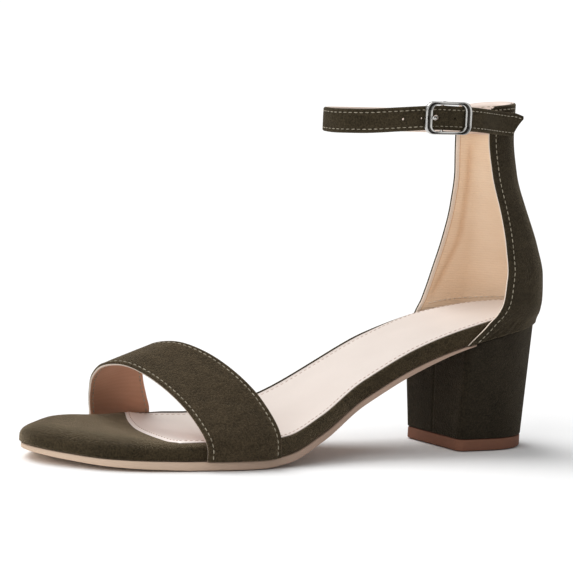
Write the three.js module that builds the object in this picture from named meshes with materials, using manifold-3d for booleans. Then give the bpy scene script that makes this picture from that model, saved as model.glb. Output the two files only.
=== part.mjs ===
// Block heel sandal, left shoe, standing on its heel tip and forefoot.
// Millimetres. +Z up, the toe points to -X, the lateral side faces -Y.
// The origin is the middle of the heel tip's ground face.
import * as THREE from 'three';
import { mergeVertices } from 'three/addons/utils/BufferGeometryUtils.js';
import Module from 'manifold-3d';

const wasm = await Module();
wasm.setup();

// Sole: lengths are level lengths, widths are those of the outsole
const SOLE_LENGTH = 231.8;
const SEAT_BACK = 24;
const SEAT_TUCK = 1.6;
const BALL_WIDTH = 76.4;
const HEEL_RISE = 49.4;
const OUTSOLE_T = 3.3;
const PLATFORM_T = 6.6;
const PLATFORM_SIDE = 4.4;
const PLATFORM_INSET = 0.8;
const RIM_ROUND = 1.5;
const TOE_ROUND = 5.2;
const TOE_SIDE = 2.8;
const TOE_PAD = 0.9;
const TOE_TUCK = 1.6;
const SOCK_T = 0.8;
const SOCK_MARGIN = 0.2;
const SOCK_REACH = 181.7;
const SOCK_BOW = 9.3;
const SOCK_SKEW = 0.3;

// Heel block and its tip
const HEEL_BASE = { back: 20.2, front: 20.9, width: 39.4, skew: 0.9 };
const HEEL_TIP_T = 4.7;
const HEEL_CORNER = 3;
const BREAST_LEAN = 1;
const OUTSOLE_LAP = 3.6;

// Toe strap
const TOE_STRAP_T = 1.8;
const TOE_STRAP_FRONT_RISE = 33;
const TOE_STRAP_REAR_RISE = 41.7;
const TOE_STRAP_FRONT = { lateral: 172, medial: 184.5, bow: 13.3 };
const TOE_STRAP_REAR = { lateral: 139.3, medial: 158.6, bow: 20 };

// Counter
const COUNTER_T = 1.8;
const COUNTER_BACK = 25.3;
const COUNTER_TOP = 143.7;
const COUNTER_TOP_FALL = { lateral: 1.4, medial: 2.8 };
const COUNTER_FOOT = 46;
const COUNTER_LEAN = 16.2;
const COUNTER_DEPTH = 43.2;
const COUNTER_HALF = 26.3;
const TAB_T = 1.1;
const TAB_SHARE = 0.86;
const TUNNEL_DROP = 6.5;
const TUNNEL_FALL = { lateral: 1.2, medial: 2.6 };

// Ankle strap and buckle
const STRAP_W = 9.8;
const STRAP_T = 1.8;
const STRAP_TIP = 6;
const HOLE_D = 1;
const HOLE_PITCH = 7.55;
const HOLES_AT = -3.6;
const PRONG_HOLE = { length: 3.6, at: -4.9 };
const FRAME_LENGTH = 22;
const FRAME_HEIGHT = 13.2;
const FRAME_BAR = 3.1;
const FRAME_T = 1.5;
const FRAME_CORNER = 3.8;
const BAR_D = 1.4;
const LOOP_T = 0.7;
const PRONG_D = 1.3;
const BUCKLE_AT = new THREE.Vector3(-39.8, -26.1, 137.7);

// Clearance between pieces that lie on each other
const GAP = 0.3;

// Outsole by its share of the length from the back of the heel: half width as a share of
// the ball's half, the middle's shift to the medial side as a share of it, the rise of
// the upper face as a share of the heel's rise, and its thickness as a share
const SOLE = [
  { at: 0, half: 0, swing: 0.011, rise: 1, thick: 0.2 },
  { at: 0.03, half: 0.364, swing: 0.008, rise: 0.985, thick: 0.2 },
  { at: 0.1, half: 0.592, swing: 0, rise: 0.928, thick: 0.2 },
  { at: 0.2, half: 0.652, swing: -0.003, rise: 0.823, thick: 0.3 },
  { at: 0.3, half: 0.618, swing: -0.01, rise: 0.655, thick: 0.62 },
  { at: 0.4, half: 0.623, swing: -0.018, rise: 0.42, thick: 0.72 },
  { at: 0.5, half: 0.759, swing: -0.05, rise: 0.16, thick: 0.84 },
  { at: 0.58, half: 0.88, swing: -0.072, rise: 0.024, thick: 0.96 },
  { at: 0.64, half: 0.962, swing: -0.06, rise: 0, thick: 1 },
  { at: 0.7, half: 0.995, swing: -0.018, rise: 0, thick: 1 },
  { at: 0.76, half: 1, swing: 0.04, rise: 0, thick: 1 },
  { at: 0.82, half: 0.965, swing: 0.072, rise: 0.004, thick: 0.94 },
  { at: 0.9, half: 0.817, swing: 0.088, rise: 0.015, thick: 0.84 },
  { at: 0.96, half: 0.484, swing: 0.092, rise: 0.036, thick: 0.76 },
  { at: 1, half: 0, swing: 0.093, rise: 0.058, thick: 0.62 },
];

// Counter by its share of the height from the lowest corner: how far the back has leaned
// forward, the half width, and the depth of both wings, as shares of their named sizes
const COUNTER = [
  { at: 0, lean: 0.1, half: 0.985, lateral: 1, medial: 1 },
  { at: 0.075, lean: 0.09, half: 1.01, lateral: 0.83, medial: 0.9 },
  { at: 0.12, lean: 0.02, half: 1.045, lateral: 0.768, medial: 0.857 },
  { at: 0.165, lean: 0, half: 1.06, lateral: 0.727, medial: 0.82 },
  { at: 0.27, lean: 0.04, half: 1.055, lateral: 0.682, medial: 0.727 },
  { at: 0.39, lean: 0.24, half: 0.97, lateral: 0.604, medial: 0.6 },
  { at: 0.54, lean: 0.58, half: 0.806, lateral: 0.498, medial: 0.463 },
  { at: 0.7, lean: 0.877, half: 0.636, lateral: 0.44, medial: 0.39 },
  { at: 0.865, lean: 1, half: 0.548, lateral: 0.421, medial: 0.39 },
  { at: 1, lean: 0.99, half: 0.542, lateral: 0.42, medial: 0.42 },
];

// Toe strap from the lateral foot (-1) to the medial foot (1): height and forward bow,
// as shares of their named sizes
const TOE_STRAP = [
  { across: -1, rise: 0, bow: 0 },
  { across: -1, rise: 0.15, bow: 0.01 },
  { across: -0.965, rise: 0.26, bow: 0.03 },
  { across: -0.87, rise: 0.4, bow: 0.08 },
  { across: -0.68, rise: 0.6, bow: 0.18 },
  { across: -0.43, rise: 0.8, bow: 0.38 },
  { across: -0.17, rise: 0.94, bow: 0.6 },
  { across: 0.06, rise: 1, bow: 0.85 },
  { across: 0.3, rise: 0.945, bow: 1 },
  { across: 0.54, rise: 0.79, bow: 0.86 },
  { across: 0.76, rise: 0.57, bow: 0.52 },
  { across: 0.92, rise: 0.37, bow: 0.2 },
  { across: 0.985, rise: 0.24, bow: 0.04 },
  { across: 1, rise: 0.13, bow: 0.01 },
  { across: 1, rise: 0, bow: 0 },
];

// Free end of the ankle strap: where its lower and upper edges run, as shares of its width
const STRAP_END = [
  { at: 0, low: 0, high: 1 },
  { at: 0.25, low: 0.26, high: 0.99 },
  { at: 0.5, low: 0.47, high: 0.96 },
  { at: 0.75, low: 0.65, high: 0.92 },
  { at: 1, low: 0.8, high: 0.87 },
];

// Middle of the ankle strap from the buckle's middle bar to the counter, on the inside
const STRAP_INNER = [[-31, -23.1, 137.4], [-21, -18.2, 136.8], [-12.2, -12.4, 136.2]];

// Its middle from the counter round the medial side, the front and the lateral side
// through the buckle to the free end
const STRAP_OUTER = [
  [-12.2, 12.4, 134.4], [-20.5, 18.2, 134.1], [-28, 22.8, 133.9], [-37, 25.5, 133.8],
  [-47, 25, 133.8], [-57.5, 22, 133.9], [-67, 17.2, 134.1], [-74.2, 10.6, 134.3],
  [-78, 3.2, 134.5], [-78.1, -3, 134.5], [-75.2, -9.6, 134.8], [-69, -15.9, 135.3],
  [-60, -21.6, 136.4], [-51, -25.2, 137.3], [-45, -26.1, 137.7], [-39.8, -26.1, 137.7],
  [-34, -26.1, 137.6], [-28, -26, 137.4], [-21, -24.4, 136.9], [-14.5, -20.6, 136.3],
  [-8, -16.9, 135.7], [-1, -14.3, 135.1], [7, -12.9, 134.7],
];

const FINISH = {
  suede: { color: 0x3a3426, roughness: 0.95, metalness: 0 },
  sock: { color: 0xe6d8ce, roughness: 0.7, metalness: 0 },
  outsole: { color: 0xb39a82, roughness: 0.7, metalness: 0 },
  tip: { color: 0x7c5443, roughness: 0.6, metalness: 0 },
  metal: { color: 0xb9babc, roughness: 0.25, metalness: 1 },
};

// Curve through a table's column that never overshoots its rows
function column(rows, key, name) {
  const x = rows.map((row) => row[key]);
  const y = rows.map((row) => row[name]);
  const last = x.length - 1;
  const slope = x.slice(1).map((value, i) => (y[i + 1] - y[i]) / (value - x[i]));
  const tangent = x.map((_, i) => {
    if (i === 0) return slope[0];
    if (i === last) return slope[last - 1];
    const [before, after] = [slope[i - 1], slope[i]];
    if (before * after <= 0) return 0;
    const [left, right] = [x[i] - x[i - 1], x[i + 1] - x[i]];
    return (3 * (left + right)) / ((2 * right + left) / before + (right + 2 * left) / after);
  });
  return (at) => {
    if (at <= x[0]) return y[0] + tangent[0] * (at - x[0]);
    if (at >= x[last]) return y[last] + tangent[last] * (at - x[last]);
    const i = x.findIndex((value) => value > at) - 1;
    const step = x[i + 1] - x[i];
    const s = (at - x[i]) / step;
    const [s2, s3] = [s * s, s * s * s];
    return y[i] * (2 * s3 - 3 * s2 + 1) + y[i + 1] * (3 * s2 - 2 * s3)
      + step * (tangent[i] * (s3 - 2 * s2 + s) + tangent[i + 1] * (s3 - s2));
  };
}

// Half widths are read by the angle of a round end, so that both ends close roundly
const endAngle = (share) => Math.acos(1 - 2 * Math.min(Math.max(share, 0), 1));
const halfByAngle = column(SOLE.map((row) => ({ ...row, angle: endAngle(row.at) })), 'angle', 'half');
const swingAt = column(SOLE, 'at', 'swing');
const riseAt = column(SOLE, 'at', 'rise');
const thickAt = column(SOLE, 'at', 'thick');

const soleShare = (x) => (SEAT_BACK - x) / SOLE_LENGTH;
const soleHalf = (share) => (BALL_WIDTH / 2) * halfByAngle(endAngle(share));
const soleMiddle = (share) => (BALL_WIDTH / 2) * swingAt(share);
const seamHeight = (x) => OUTSOLE_T + GAP / 2 + HEEL_RISE * riseAt(soleShare(x));
const outsoleTop = (x) => seamHeight(x) - GAP / 2;
const outsoleUnderside = (x) => outsoleTop(x) - OUTSOLE_T * thickAt(soleShare(x));
const platformUnderside = (x) => seamHeight(x) + GAP / 2;

// The platform's cover is thicker and rounder on the open toe
const toeShare = (x, from, to) => THREE.MathUtils.smoothstep(soleShare(x), from, to);
const platformSide = (x) => PLATFORM_SIDE + (TOE_SIDE - PLATFORM_SIDE) * toeShare(x, 0.7, 0.92);
const platformHeight = (x) => PLATFORM_T + TOE_PAD * toeShare(x, 0.76, 0.9);
const platformTop = (x) => platformUnderside(x) + platformHeight(x);

// Point on the sole's outline, moved outwards along its normal
function outlinePoint(angle, side, offset) {
  const spot = (a) => {
    const share = (1 - Math.cos(a)) / 2;
    return new THREE.Vector2(SEAT_BACK - SOLE_LENGTH * share, soleMiddle(share) + side * soleHalf(share));
  };
  const here = spot(angle);
  if (angle < 1e-6) return here.add(new THREE.Vector2(offset, 0));
  if (angle > Math.PI - 1e-6) return here.add(new THREE.Vector2(-offset, 0));
  const along = spot(Math.min(angle + 1e-3, Math.PI)).sub(spot(Math.max(angle - 1e-3, 0))).normalize();
  return here.add(new THREE.Vector2(-along.y, along.x).multiplyScalar(-side * offset));
}

// The seat's outline is drawn in under the counter
const tuck = (share) => SEAT_TUCK * (1 - THREE.MathUtils.smoothstep(share, 0.04, 0.18));

// Ring of the outline from the toe's or the seat's end round to the same end. The two sides
// have equal numbers of points, so that a point and its partner lie across the foot.
function outlineRing({ from = 0, steps = 36, offset, height }) {
  const start = endAngle(from);
  const angles = Array.from({ length: steps + 1 }, (_, i) => start + ((Math.PI - start) * i) / steps);
  const place = (angle, side) => {
    const share = (1 - Math.cos(angle)) / 2;
    const { x, y } = outlinePoint(angle, side, offset(share) - tuck(share));
    return new THREE.Vector3(x, y, height(x, share));
  };
  const lateral = angles.map((angle) => place(angle, -1));
  const medial = angles.slice(from > 0 ? 0 : 1, -1).map((angle) => place(angle, 1)).reverse();
  return [...lateral, ...medial];
}

// Closed solid through rings of equal length, with both ends closed by strips from each
// point to its partner on the other side
function loft(rings, { open = false } = {}) {
  const size = rings[0].length;
  const faces = [];
  for (let r = 0; r + 1 < rings.length; r += 1) {
    for (let j = 0; j < size; j += 1) {
      const k = (j + 1) % size;
      const [a, b, c, d] = [r * size + j, r * size + k, (r + 1) * size + k, (r + 1) * size + j];
      faces.push([a, b, c], [a, c, d]);
    }
  }
  const partner = (j) => (open ? size - 1 - j : (size - j) % size);
  const half = Math.floor(size / 2);
  for (let j = 0; j < half; j += 1) {
    const [a, b, c, d] = [j, j + 1, partner(j + 1), partner(j)];
    const top = (rings.length - 1) * size;
    for (const [p, q, s] of [[a, b, c], [a, c, d]]) {
      if (new Set([p, q, s]).size === 3) faces.push([q, p, s], [top + p, top + q, top + s]);
    }
  }
  return solidOf(rings.flat(), faces);
}

// Geometry from points and faces, turned so that its volume is positive
function solidOf(points, faces) {
  let volume = 0;
  const cross = new THREE.Vector3();
  for (const [a, b, c] of faces) volume += points[a].dot(cross.crossVectors(points[b], points[c]));
  const order = volume < 0 ? faces.map(([a, b, c]) => [a, c, b]) : faces;
  const geometry = new THREE.BufferGeometry();
  geometry.setAttribute('position', new THREE.Float32BufferAttribute(points.flatMap((p) => p.toArray()), 3));
  geometry.setIndex(order.flat());
  return geometry;
}

// Wall through a grid of outer and inner points: grid[row][column] = [outer, inner]
function wall(grid) {
  const [rows, columns] = [grid.length, grid[0].length];
  const points = grid.flat(2);
  const index = (r, c, face) => (r * columns + c) * 2 + face;
  const faces = [];
  const quad = (a, b, c, d) => faces.push([a, b, c], [a, c, d]);
  for (let r = 0; r + 1 < rows; r += 1) {
    for (let c = 0; c + 1 < columns; c += 1) {
      quad(index(r, c, 0), index(r, c + 1, 0), index(r + 1, c + 1, 0), index(r + 1, c, 0));
      quad(index(r, c, 1), index(r + 1, c, 1), index(r + 1, c + 1, 1), index(r, c + 1, 1));
    }
    quad(index(r, 0, 0), index(r + 1, 0, 0), index(r + 1, 0, 1), index(r, 0, 1));
    const end = columns - 1;
    quad(index(r, end, 0), index(r, end, 1), index(r + 1, end, 1), index(r + 1, end, 0));
  }
  const top = rows - 1;
  for (let c = 0; c + 1 < columns; c += 1) {
    quad(index(0, c, 0), index(0, c, 1), index(0, c + 1, 1), index(0, c + 1, 0));
    quad(index(top, c, 0), index(top, c + 1, 0), index(top, c + 1, 1), index(top, c, 1));
  }
  return solidOf(points, faces);
}

function toSolid(geometry) {
  const bare = geometry.clone();
  bare.deleteAttribute('normal');
  bare.deleteAttribute('uv');
  const merged = mergeVertices(bare, 1e-4);
  const vertProperties = new Float32Array(merged.attributes.position.array);
  const triVerts = new Uint32Array(merged.index.array);
  return new wasm.Manifold(new wasm.Mesh({ numProp: 3, vertProperties, triVerts }));
}

function fromSolid(solid) {
  const { vertProperties, triVerts } = solid.getMesh();
  const geometry = new THREE.BufferGeometry();
  geometry.setAttribute('position', new THREE.Float32BufferAttribute(vertProperties, 3));
  geometry.setIndex(Array.from(triVerts));
  return geometry;
}

// Block above the curve z = height(x), as wide and long as any piece. The curve may have
// a step at one place.
function blockAbove(height, stepAt) {
  const [rear, front] = [SEAT_BACK + 2 * BALL_WIDTH, SEAT_BACK - SOLE_LENGTH - BALL_WIDTH];
  const [from, to, steps] = [SEAT_BACK + 4, SEAT_BACK - SOLE_LENGTH * 0.36, 80];
  const places = Array.from({ length: steps + 1 }, (_, i) => from + ((to - from) * i) / steps);
  places.push(stepAt, stepAt + 1e-3);
  places.sort((a, b) => b - a);
  const shape = new THREE.Shape();
  shape.moveTo(rear, height(from));
  places.forEach((x) => shape.lineTo(x, height(x)));
  shape.lineTo(front, height(to));
  shape.lineTo(front, COUNTER_TOP);
  shape.lineTo(rear, COUNTER_TOP);
  const depth = 2 * BALL_WIDTH;
  const geometry = new THREE.ExtrudeGeometry(shape, { depth, bevelEnabled: false });
  return geometry.rotateX(Math.PI / 2).translate(0, depth / 2, 0);
}

// Sole pieces

const breastX = -HEEL_BASE.front;
const outsoleEnd = soleShare(breastX - BREAST_LEAN + OUTSOLE_LAP);

function outsole() {
  const offset = (share) => -TOE_TUCK * THREE.MathUtils.smoothstep(share, 0.84, 0.98);
  const layer = (height) => outlineRing({ from: outsoleEnd, steps: 34, offset, height });
  return loft([layer(outsoleUnderside), layer(outsoleTop)], { open: true });
}

// The rim's rounding grows from the arch to the open toe
const rimRound = (share) => RIM_ROUND + (TOE_ROUND - RIM_ROUND)
  * THREE.MathUtils.smoothstep(share, 0.62, 0.86);

function platformSolid(clear) {
  const layer = (inset, height) => outlineRing({
    offset: (share) => clear - PLATFORM_INSET - inset(share),
    height: (x) => platformUnderside(x) + height(x),
  });
  const bend = [0, 0.25, 0.5, 0.75, 1].map((share) => share * (Math.PI / 2));
  return loft([
    layer(() => 0, () => -clear),
    ...bend.map((angle) => layer(
      (share) => rimRound(share) * (1 - Math.cos(angle)),
      (x) => platformSide(x) + clear + (platformHeight(x) - platformSide(x)) * Math.sin(angle),
    )),
  ]);
}

const sockMargin = PLATFORM_INSET + RIM_ROUND + SOCK_MARGIN;

// The sock's front end is an arc across the foot that reaches furthest on the lateral side
function sockFrontCutter() {
  const shape = new THREE.Shape();
  const half = BALL_WIDTH * 0.6;
  const steps = 16;
  const front = SEAT_BACK - SOCK_REACH;
  for (let i = 0; i <= steps; i += 1) {
    const across = -1 + (2 * i) / steps;
    const x = front + SOCK_BOW * (across + SOCK_SKEW) ** 2;
    if (i === 0) shape.moveTo(x, across * half);
    else shape.lineTo(x, across * half);
  }
  shape.lineTo(SEAT_BACK - SOLE_LENGTH - BALL_WIDTH, half);
  shape.lineTo(SEAT_BACK - SOLE_LENGTH - BALL_WIDTH, -half);
  return new THREE.ExtrudeGeometry(shape, { depth: HEEL_RISE, bevelEnabled: false });
}

function sock() {
  const layer = (height) => outlineRing({
    offset: () => -sockMargin,
    height: (x) => platformTop(x) + height,
  });
  const whole = loft([layer(GAP), layer(GAP + SOCK_T)]);
  return fromSolid(toSolid(whole).subtract(toSolid(sockFrontCutter())));
}

// Heel

// Half outline of the heel from the middle of its back to the middle of its breast
function heelHalf({ back, front, halfAt, corner }) {
  const sideSteps = 14;
  const cornerSteps = 4;
  const points = [];
  for (let i = 0; i <= sideSteps; i += 1) {
    const share = 1 - Math.cos((i / sideSteps) * (Math.PI / 2));
    const x = back - (back - front - corner) * share;
    points.push([x, halfAt(x)]);
  }
  const edge = halfAt(front + corner);
  for (let i = 1; i <= cornerSteps; i += 1) {
    const turn = (i / cornerSteps) * (Math.PI / 2);
    points.push([front + corner * (1 - Math.sin(turn)), edge - corner * (1 - Math.cos(turn))]);
  }
  points.push([front, (edge - corner) / 2], [front, 0]);
  return points;
}

// Straight sides in front, a round back
const baseHalf = (x) => {
  const straight = HEEL_BASE.back - 0.58 * (HEEL_BASE.back + HEEL_BASE.front);
  const share = Math.min(Math.max((x - straight) / (HEEL_BASE.back - straight), 0), 1);
  return (HEEL_BASE.width / 2) * (1 - share ** 1.95) ** (1 / 1.95);
};

// The heel's top lies flush with the counter behind and with the outsole at the breast
const counterProud = COUNTER_T + GAP - PLATFORM_INSET;
const flare = (share) => counterProud * (1 - THREE.MathUtils.smoothstep(share, 0.13, 0.19)) - tuck(share);
const topBack = SEAT_BACK - SEAT_TUCK + counterProud;

const topHalf = (x) => {
  const share = Math.max(topBack - x, 0) / (topBack - SEAT_BACK + SOLE_LENGTH);
  return soleHalf(share) + flare(share) * Math.min(share / 0.03, 1);
};

function heelRing(share, z) {
  const base = heelHalf({
    back: HEEL_BASE.back, front: breastX, halfAt: baseHalf, corner: HEEL_CORNER,
  });
  const top = heelHalf({
    back: topBack, front: breastX - BREAST_LEAN, halfAt: topHalf, corner: HEEL_CORNER,
  });
  const half = base.map(([x, y], i) => [x + (top[i][0] - x) * share, y + (top[i][1] - y) * share]);
  const skew = (x, y) => x - HEEL_BASE.skew * THREE.MathUtils.clamp(-x / HEEL_BASE.front, 0, 1)
    * (y / (HEEL_BASE.width / 2));
  const ring = half.map(([x, y]) => new THREE.Vector3(skew(x, -y), -y, z));
  const back = half.slice(1, -1).reverse().map(([x, y]) => new THREE.Vector3(skew(x, y), y, z));
  return [...ring, ...back];
}

const heelTopHeight = seamHeight(SEAT_BACK);

// The heel's top steps down in front of this place, under the outsole
const lapX = SEAT_BACK - SOLE_LENGTH * outsoleEnd + GAP;
const heelTop = (x) => (x > lapX ? seamHeight(x) - GAP / 2 : outsoleUnderside(x) - GAP);

function heel() {
  const foot = HEEL_TIP_T + GAP;
  const shareAt = (z) => (z - HEEL_TIP_T) / (heelTopHeight - HEEL_TIP_T);
  const levels = [foot, heelTopHeight * 0.36, heelTopHeight * 0.64, heelTopHeight * 0.86, heelTopHeight + 1];
  const block = toSolid(loft(levels.map((z) => heelRing(shareAt(z), z))));
  return fromSolid(block.subtract(toSolid(blockAbove(heelTop, lapX))));
}

function heelTip() {
  return loft([0, HEEL_TIP_T].map((z) => heelRing(0, z)));
}

// Toe strap

const strapShape = (() => {
  const points = TOE_STRAP.map(({ across, rise, bow }) => new THREE.Vector3(across, rise, bow));
  return new THREE.CatmullRomCurve3(points, false, 'centripetal');
})();

// Point on the strap's outer face: share from one foot to the other, and from the front
// edge to the rear edge
function toeStrapPoint(across, along) {
  const row = strapShape.getPoint(across);
  const mix = (front, rear) => front + (rear - front) * along;
  const lateral = mix(TOE_STRAP_FRONT.lateral, TOE_STRAP_REAR.lateral);
  const medial = mix(TOE_STRAP_FRONT.medial, TOE_STRAP_REAR.medial);
  const reach = lateral + ((medial - lateral) * (row.x + 1)) / 2
    + row.z * mix(TOE_STRAP_FRONT.bow, TOE_STRAP_REAR.bow);
  const share = reach / SOLE_LENGTH;
  const x = SEAT_BACK - reach;
  const proud = GAP + TOE_STRAP_T - PLATFORM_INSET;
  const y = soleMiddle(share) + row.x * (soleHalf(share) + proud);
  const rise = mix(TOE_STRAP_FRONT_RISE, TOE_STRAP_REAR_RISE);
  return new THREE.Vector3(x, y, platformUnderside(x) + row.y * rise);
}

function toeStrap() {
  const acrossSteps = 34;
  const alongSteps = 5;
  const grid = [];
  for (let i = 0; i <= acrossSteps; i += 1) {
    const across = i / acrossSteps;
    const line = [];
    for (let j = 0; j <= alongSteps; j += 1) {
      const along = j / alongSteps;
      const outer = toeStrapPoint(across, along);
      const [a, b] = [Math.max(across - 0.004, 0), Math.min(across + 0.004, 1)];
      const sideways = toeStrapPoint(b, along).sub(toeStrapPoint(a, along));
      const [c, d] = [Math.max(along - 0.05, 0), Math.min(along + 0.05, 1)];
      const backwards = toeStrapPoint(across, d).sub(toeStrapPoint(across, c));
      const inwards = sideways.cross(backwards).normalize();
      if (i === 0 || i === acrossSteps) inwards.setZ(0).normalize();
      line.push([outer, outer.clone().addScaledVector(inwards, TOE_STRAP_T)]);
    }
    grid.push(line);
  }
  return wall(grid);
}

// Counter

const counterAt = Object.fromEntries(['lean', 'half', 'lateral', 'medial']
  .map((name) => [name, column(COUNTER, 'at', name)]));

// Below, the counter's width follows the sole that it stands on, above it has its own
const footShare = COUNTER_DEPTH / SOLE_LENGTH;
const counterFootHalf = soleHalf(footShare) + counterProud;
const counterGirth = (share) => counterFootHalf
  + (COUNTER_HALF - counterFootHalf) * THREE.MathUtils.smoothstep(share, 0.2, 0.8);

// How far a turn lies in front of the counter's back, as a share of the wing's depth
const wingShare = (turn) => 1 - Math.cos(Math.min(Math.abs(turn), 1) * (Math.PI / 2));
const fallAt = (fall, turn) => (turn < 0 ? fall.lateral : fall.medial) * wingShare(turn);

// Point of the counter's outer face moved inwards: turn runs from -1 at the lateral edge
// through 0 at the back to 1 at the medial edge
function counterPoint(turn, z, inwards) {
  const share = (z - COUNTER_FOOT) / (COUNTER_TOP - COUNTER_FOOT);
  const back = COUNTER_BACK - COUNTER_LEAN * counterAt.lean(share);
  const spot = (q) => {
    const side = q < 0 ? -1 : 1;
    const depth = COUNTER_DEPTH * (q < 0 ? counterAt.lateral(share) : counterAt.medial(share));
    const u = wingShare(q);
    const width = counterGirth(share) * counterAt.half(share)
      * (soleHalf(u * footShare) / soleHalf(footShare));
    return new THREE.Vector2(back - depth * u, side * width);
  };
  const here = spot(turn);
  const along = spot(Math.min(turn + 0.01, 1)).sub(spot(Math.max(turn - 0.01, -1))).normalize();
  const inner = new THREE.Vector2(-along.y, along.x).multiplyScalar(inwards);
  return new THREE.Vector3(here.x + inner.x, here.y + inner.y, z);
}

// Lowest point of the counter at a turn: it stands on the heel
function counterFoot(turn) {
  let z = COUNTER_FOOT + GAP;
  for (let i = 0; i < 6; i += 1) z = platformUnderside(counterPoint(turn, z, 0).x);
  return z;
}

function counterWall({ turns, levels, outer, inner, bottom, top }) {
  const grid = [];
  for (let i = 0; i <= turns; i += 1) {
    const turn = outer.turn * (-1 + (2 * i) / turns);
    const line = [];
    for (let k = 0; k <= levels; k += 1) {
      const low = bottom(turn);
      const z = low + (top(turn) - low) * (k / levels);
      line.push([counterPoint(turn, z, outer.inwards), counterPoint(turn, z, inner.inwards)]);
    }
    grid.push(line);
  }
  return wall(grid);
}

const strapInside = COUNTER_T + GAP + STRAP_T / 2;
const tunnelMiddle = (turn) => COUNTER_TOP - TUNNEL_DROP - fallAt(TUNNEL_FALL, turn);

function counter() {
  const skin = toSolid(counterWall({
    turns: 26, levels: 13, outer: { turn: 1, inwards: 0 }, inner: { inwards: COUNTER_T },
    bottom: counterFoot, top: (turn) => COUNTER_TOP - fallAt(COUNTER_TOP_FALL, turn),
  }));
  const tabInside = COUNTER_T + 2 * GAP + STRAP_T + TAB_T;
  const slotHalf = STRAP_W / 2 + GAP;
  const tab = toSolid(counterWall({
    turns: 16, levels: 1, outer: { turn: TAB_SHARE, inwards: COUNTER_T / 2 }, inner: { inwards: tabInside },
    bottom: (turn) => tunnelMiddle(turn) - slotHalf - TAB_T,
    top: (turn) => tunnelMiddle(turn) + slotHalf + TAB_T,
  }));
  const slot = toSolid(counterWall({
    turns: 16, levels: 1, outer: { turn: TAB_SHARE + 0.1, inwards: COUNTER_T },
    inner: { inwards: tabInside - TAB_T },
    bottom: (turn) => tunnelMiddle(turn) - slotHalf,
    top: (turn) => tunnelMiddle(turn) + slotHalf,
  }));
  return fromSolid(skin.add(tab.subtract(slot)).subtract(toSolid(platformSolid(GAP))));
}

// Ankle strap

const barRadius = BAR_D / 2;
const loopRadius = barRadius + GAP + LOOP_T;
const barDepth = STRAP_T / 2 + GAP + loopRadius;

// The strap runs from the buckle's middle bar back into the counter, round the foot to
// the buckle and on to the free end
function strapRoute() {
  const buckle = [BUCKLE_AT.x, BUCKLE_AT.y + barDepth, BUCKLE_AT.z];
  const inTunnel = [];
  for (let i = 0; i <= 12; i += 1) {
    const turn = -1 + (2 * i) / 12;
    inTunnel.push(counterPoint(turn, tunnelMiddle(turn), strapInside).toArray());
  }
  return [buckle, ...STRAP_INNER, ...inTunnel, ...STRAP_OUTER].map((point) => new THREE.Vector3(...point));
}

const endLow = column(STRAP_END, 'at', 'low');
const endHigh = column(STRAP_END, 'at', 'high');

const strapCurve = new THREE.CatmullRomCurve3(strapRoute(), false, 'centripetal');
strapCurve.arcLengthDivisions = 800;
const strapLength = strapCurve.getLength();

// Point on the strap's middle and its sideways direction, at a share of its length
function strapAt(along) {
  const heading = strapCurve.getTangentAt(along);
  return {
    point: strapCurve.getPointAt(along),
    out: new THREE.Vector3(heading.y, -heading.x, 0).normalize(),
  };
}

function strapBand() {
  const [steps, endSteps] = [118, 8];
  const tipFrom = 1 - STRAP_TIP / strapLength;
  const places = Array.from({ length: steps - endSteps }, (_, i) => (i / (steps - endSteps)) * tipFrom);
  for (let i = 0; i <= endSteps; i += 1) places.push(tipFrom + ((1 - tipFrom) * i) / endSteps);
  return loft(places.map((along) => {
    const { point, out } = strapAt(along);
    const end = Math.max((along - tipFrom) / (1 - tipFrom), 0);
    const corner = (side, share) => point.clone()
      .addScaledVector(out, (side * STRAP_T) / 2)
      .setZ(point.z + STRAP_W * (share - 0.5));
    return [corner(1, endLow(end)), corner(1, endHigh(end)), corner(-1, endHigh(end)), corner(-1, endLow(end))];
  }), { open: true });
}

// Share of the strap's length at which its outer run passes a place along X
function strapShareAt(x) {
  let [low, high] = [0.6, 1];
  for (let i = 0; i < 30; i += 1) {
    const middle = (low + high) / 2;
    if (strapCurve.getPointAt(middle).x < x) low = middle;
    else high = middle;
  }
  return low;
}

function ankleStrap() {
  const hub = [BUCKLE_AT.x, BUCKLE_AT.y + barDepth, BUCKLE_AT.z];
  const round = (radius, height) => new THREE.CylinderGeometry(radius, radius, height, 16)
    .rotateX(Math.PI / 2).translate(...hub);
  const notchFront = 2 * loopRadius;
  const notchRear = loopRadius + GAP;
  const notch = new THREE.BoxGeometry(notchFront + notchRear, 3 * loopRadius, PRONG_D + 2 * GAP)
    .translate((notchRear - notchFront) / 2, 0, 0).translate(...hub);
  let strap = toSolid(strapBand()).add(toSolid(round(loopRadius, STRAP_W)));
  strap = strap.subtract(toSolid(round(barRadius + GAP, STRAP_W * 2))).subtract(toSolid(notch));
  const slot = new THREE.CylinderGeometry(PRONG_HOLE.length / 2, PRONG_HOLE.length / 2, STRAP_T + GAP, 16);
  slot.scale(1, 1, 0.62).translate(BUCKLE_AT.x + PRONG_HOLE.at, BUCKLE_AT.y, BUCKLE_AT.z);
  strap = strap.subtract(toSolid(slot));
  const holeShare = strapShareAt(BUCKLE_AT.x + HOLES_AT);
  for (const place of [-2, -1, 1]) {
    const { point, out } = strapAt(holeShare + (place * HOLE_PITCH) / strapLength);
    const hole = new THREE.CylinderGeometry(HOLE_D / 2, HOLE_D / 2, STRAP_T + GAP, 10);
    hole.rotateZ(Math.atan2(-out.x, out.y)).translate(point.x, point.y, point.z);
    strap = strap.subtract(toSolid(hole));
  }
  return fromSolid(strap);
}

// Buckle, in its own axes: the strap runs along X, and -Y faces outwards

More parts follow.
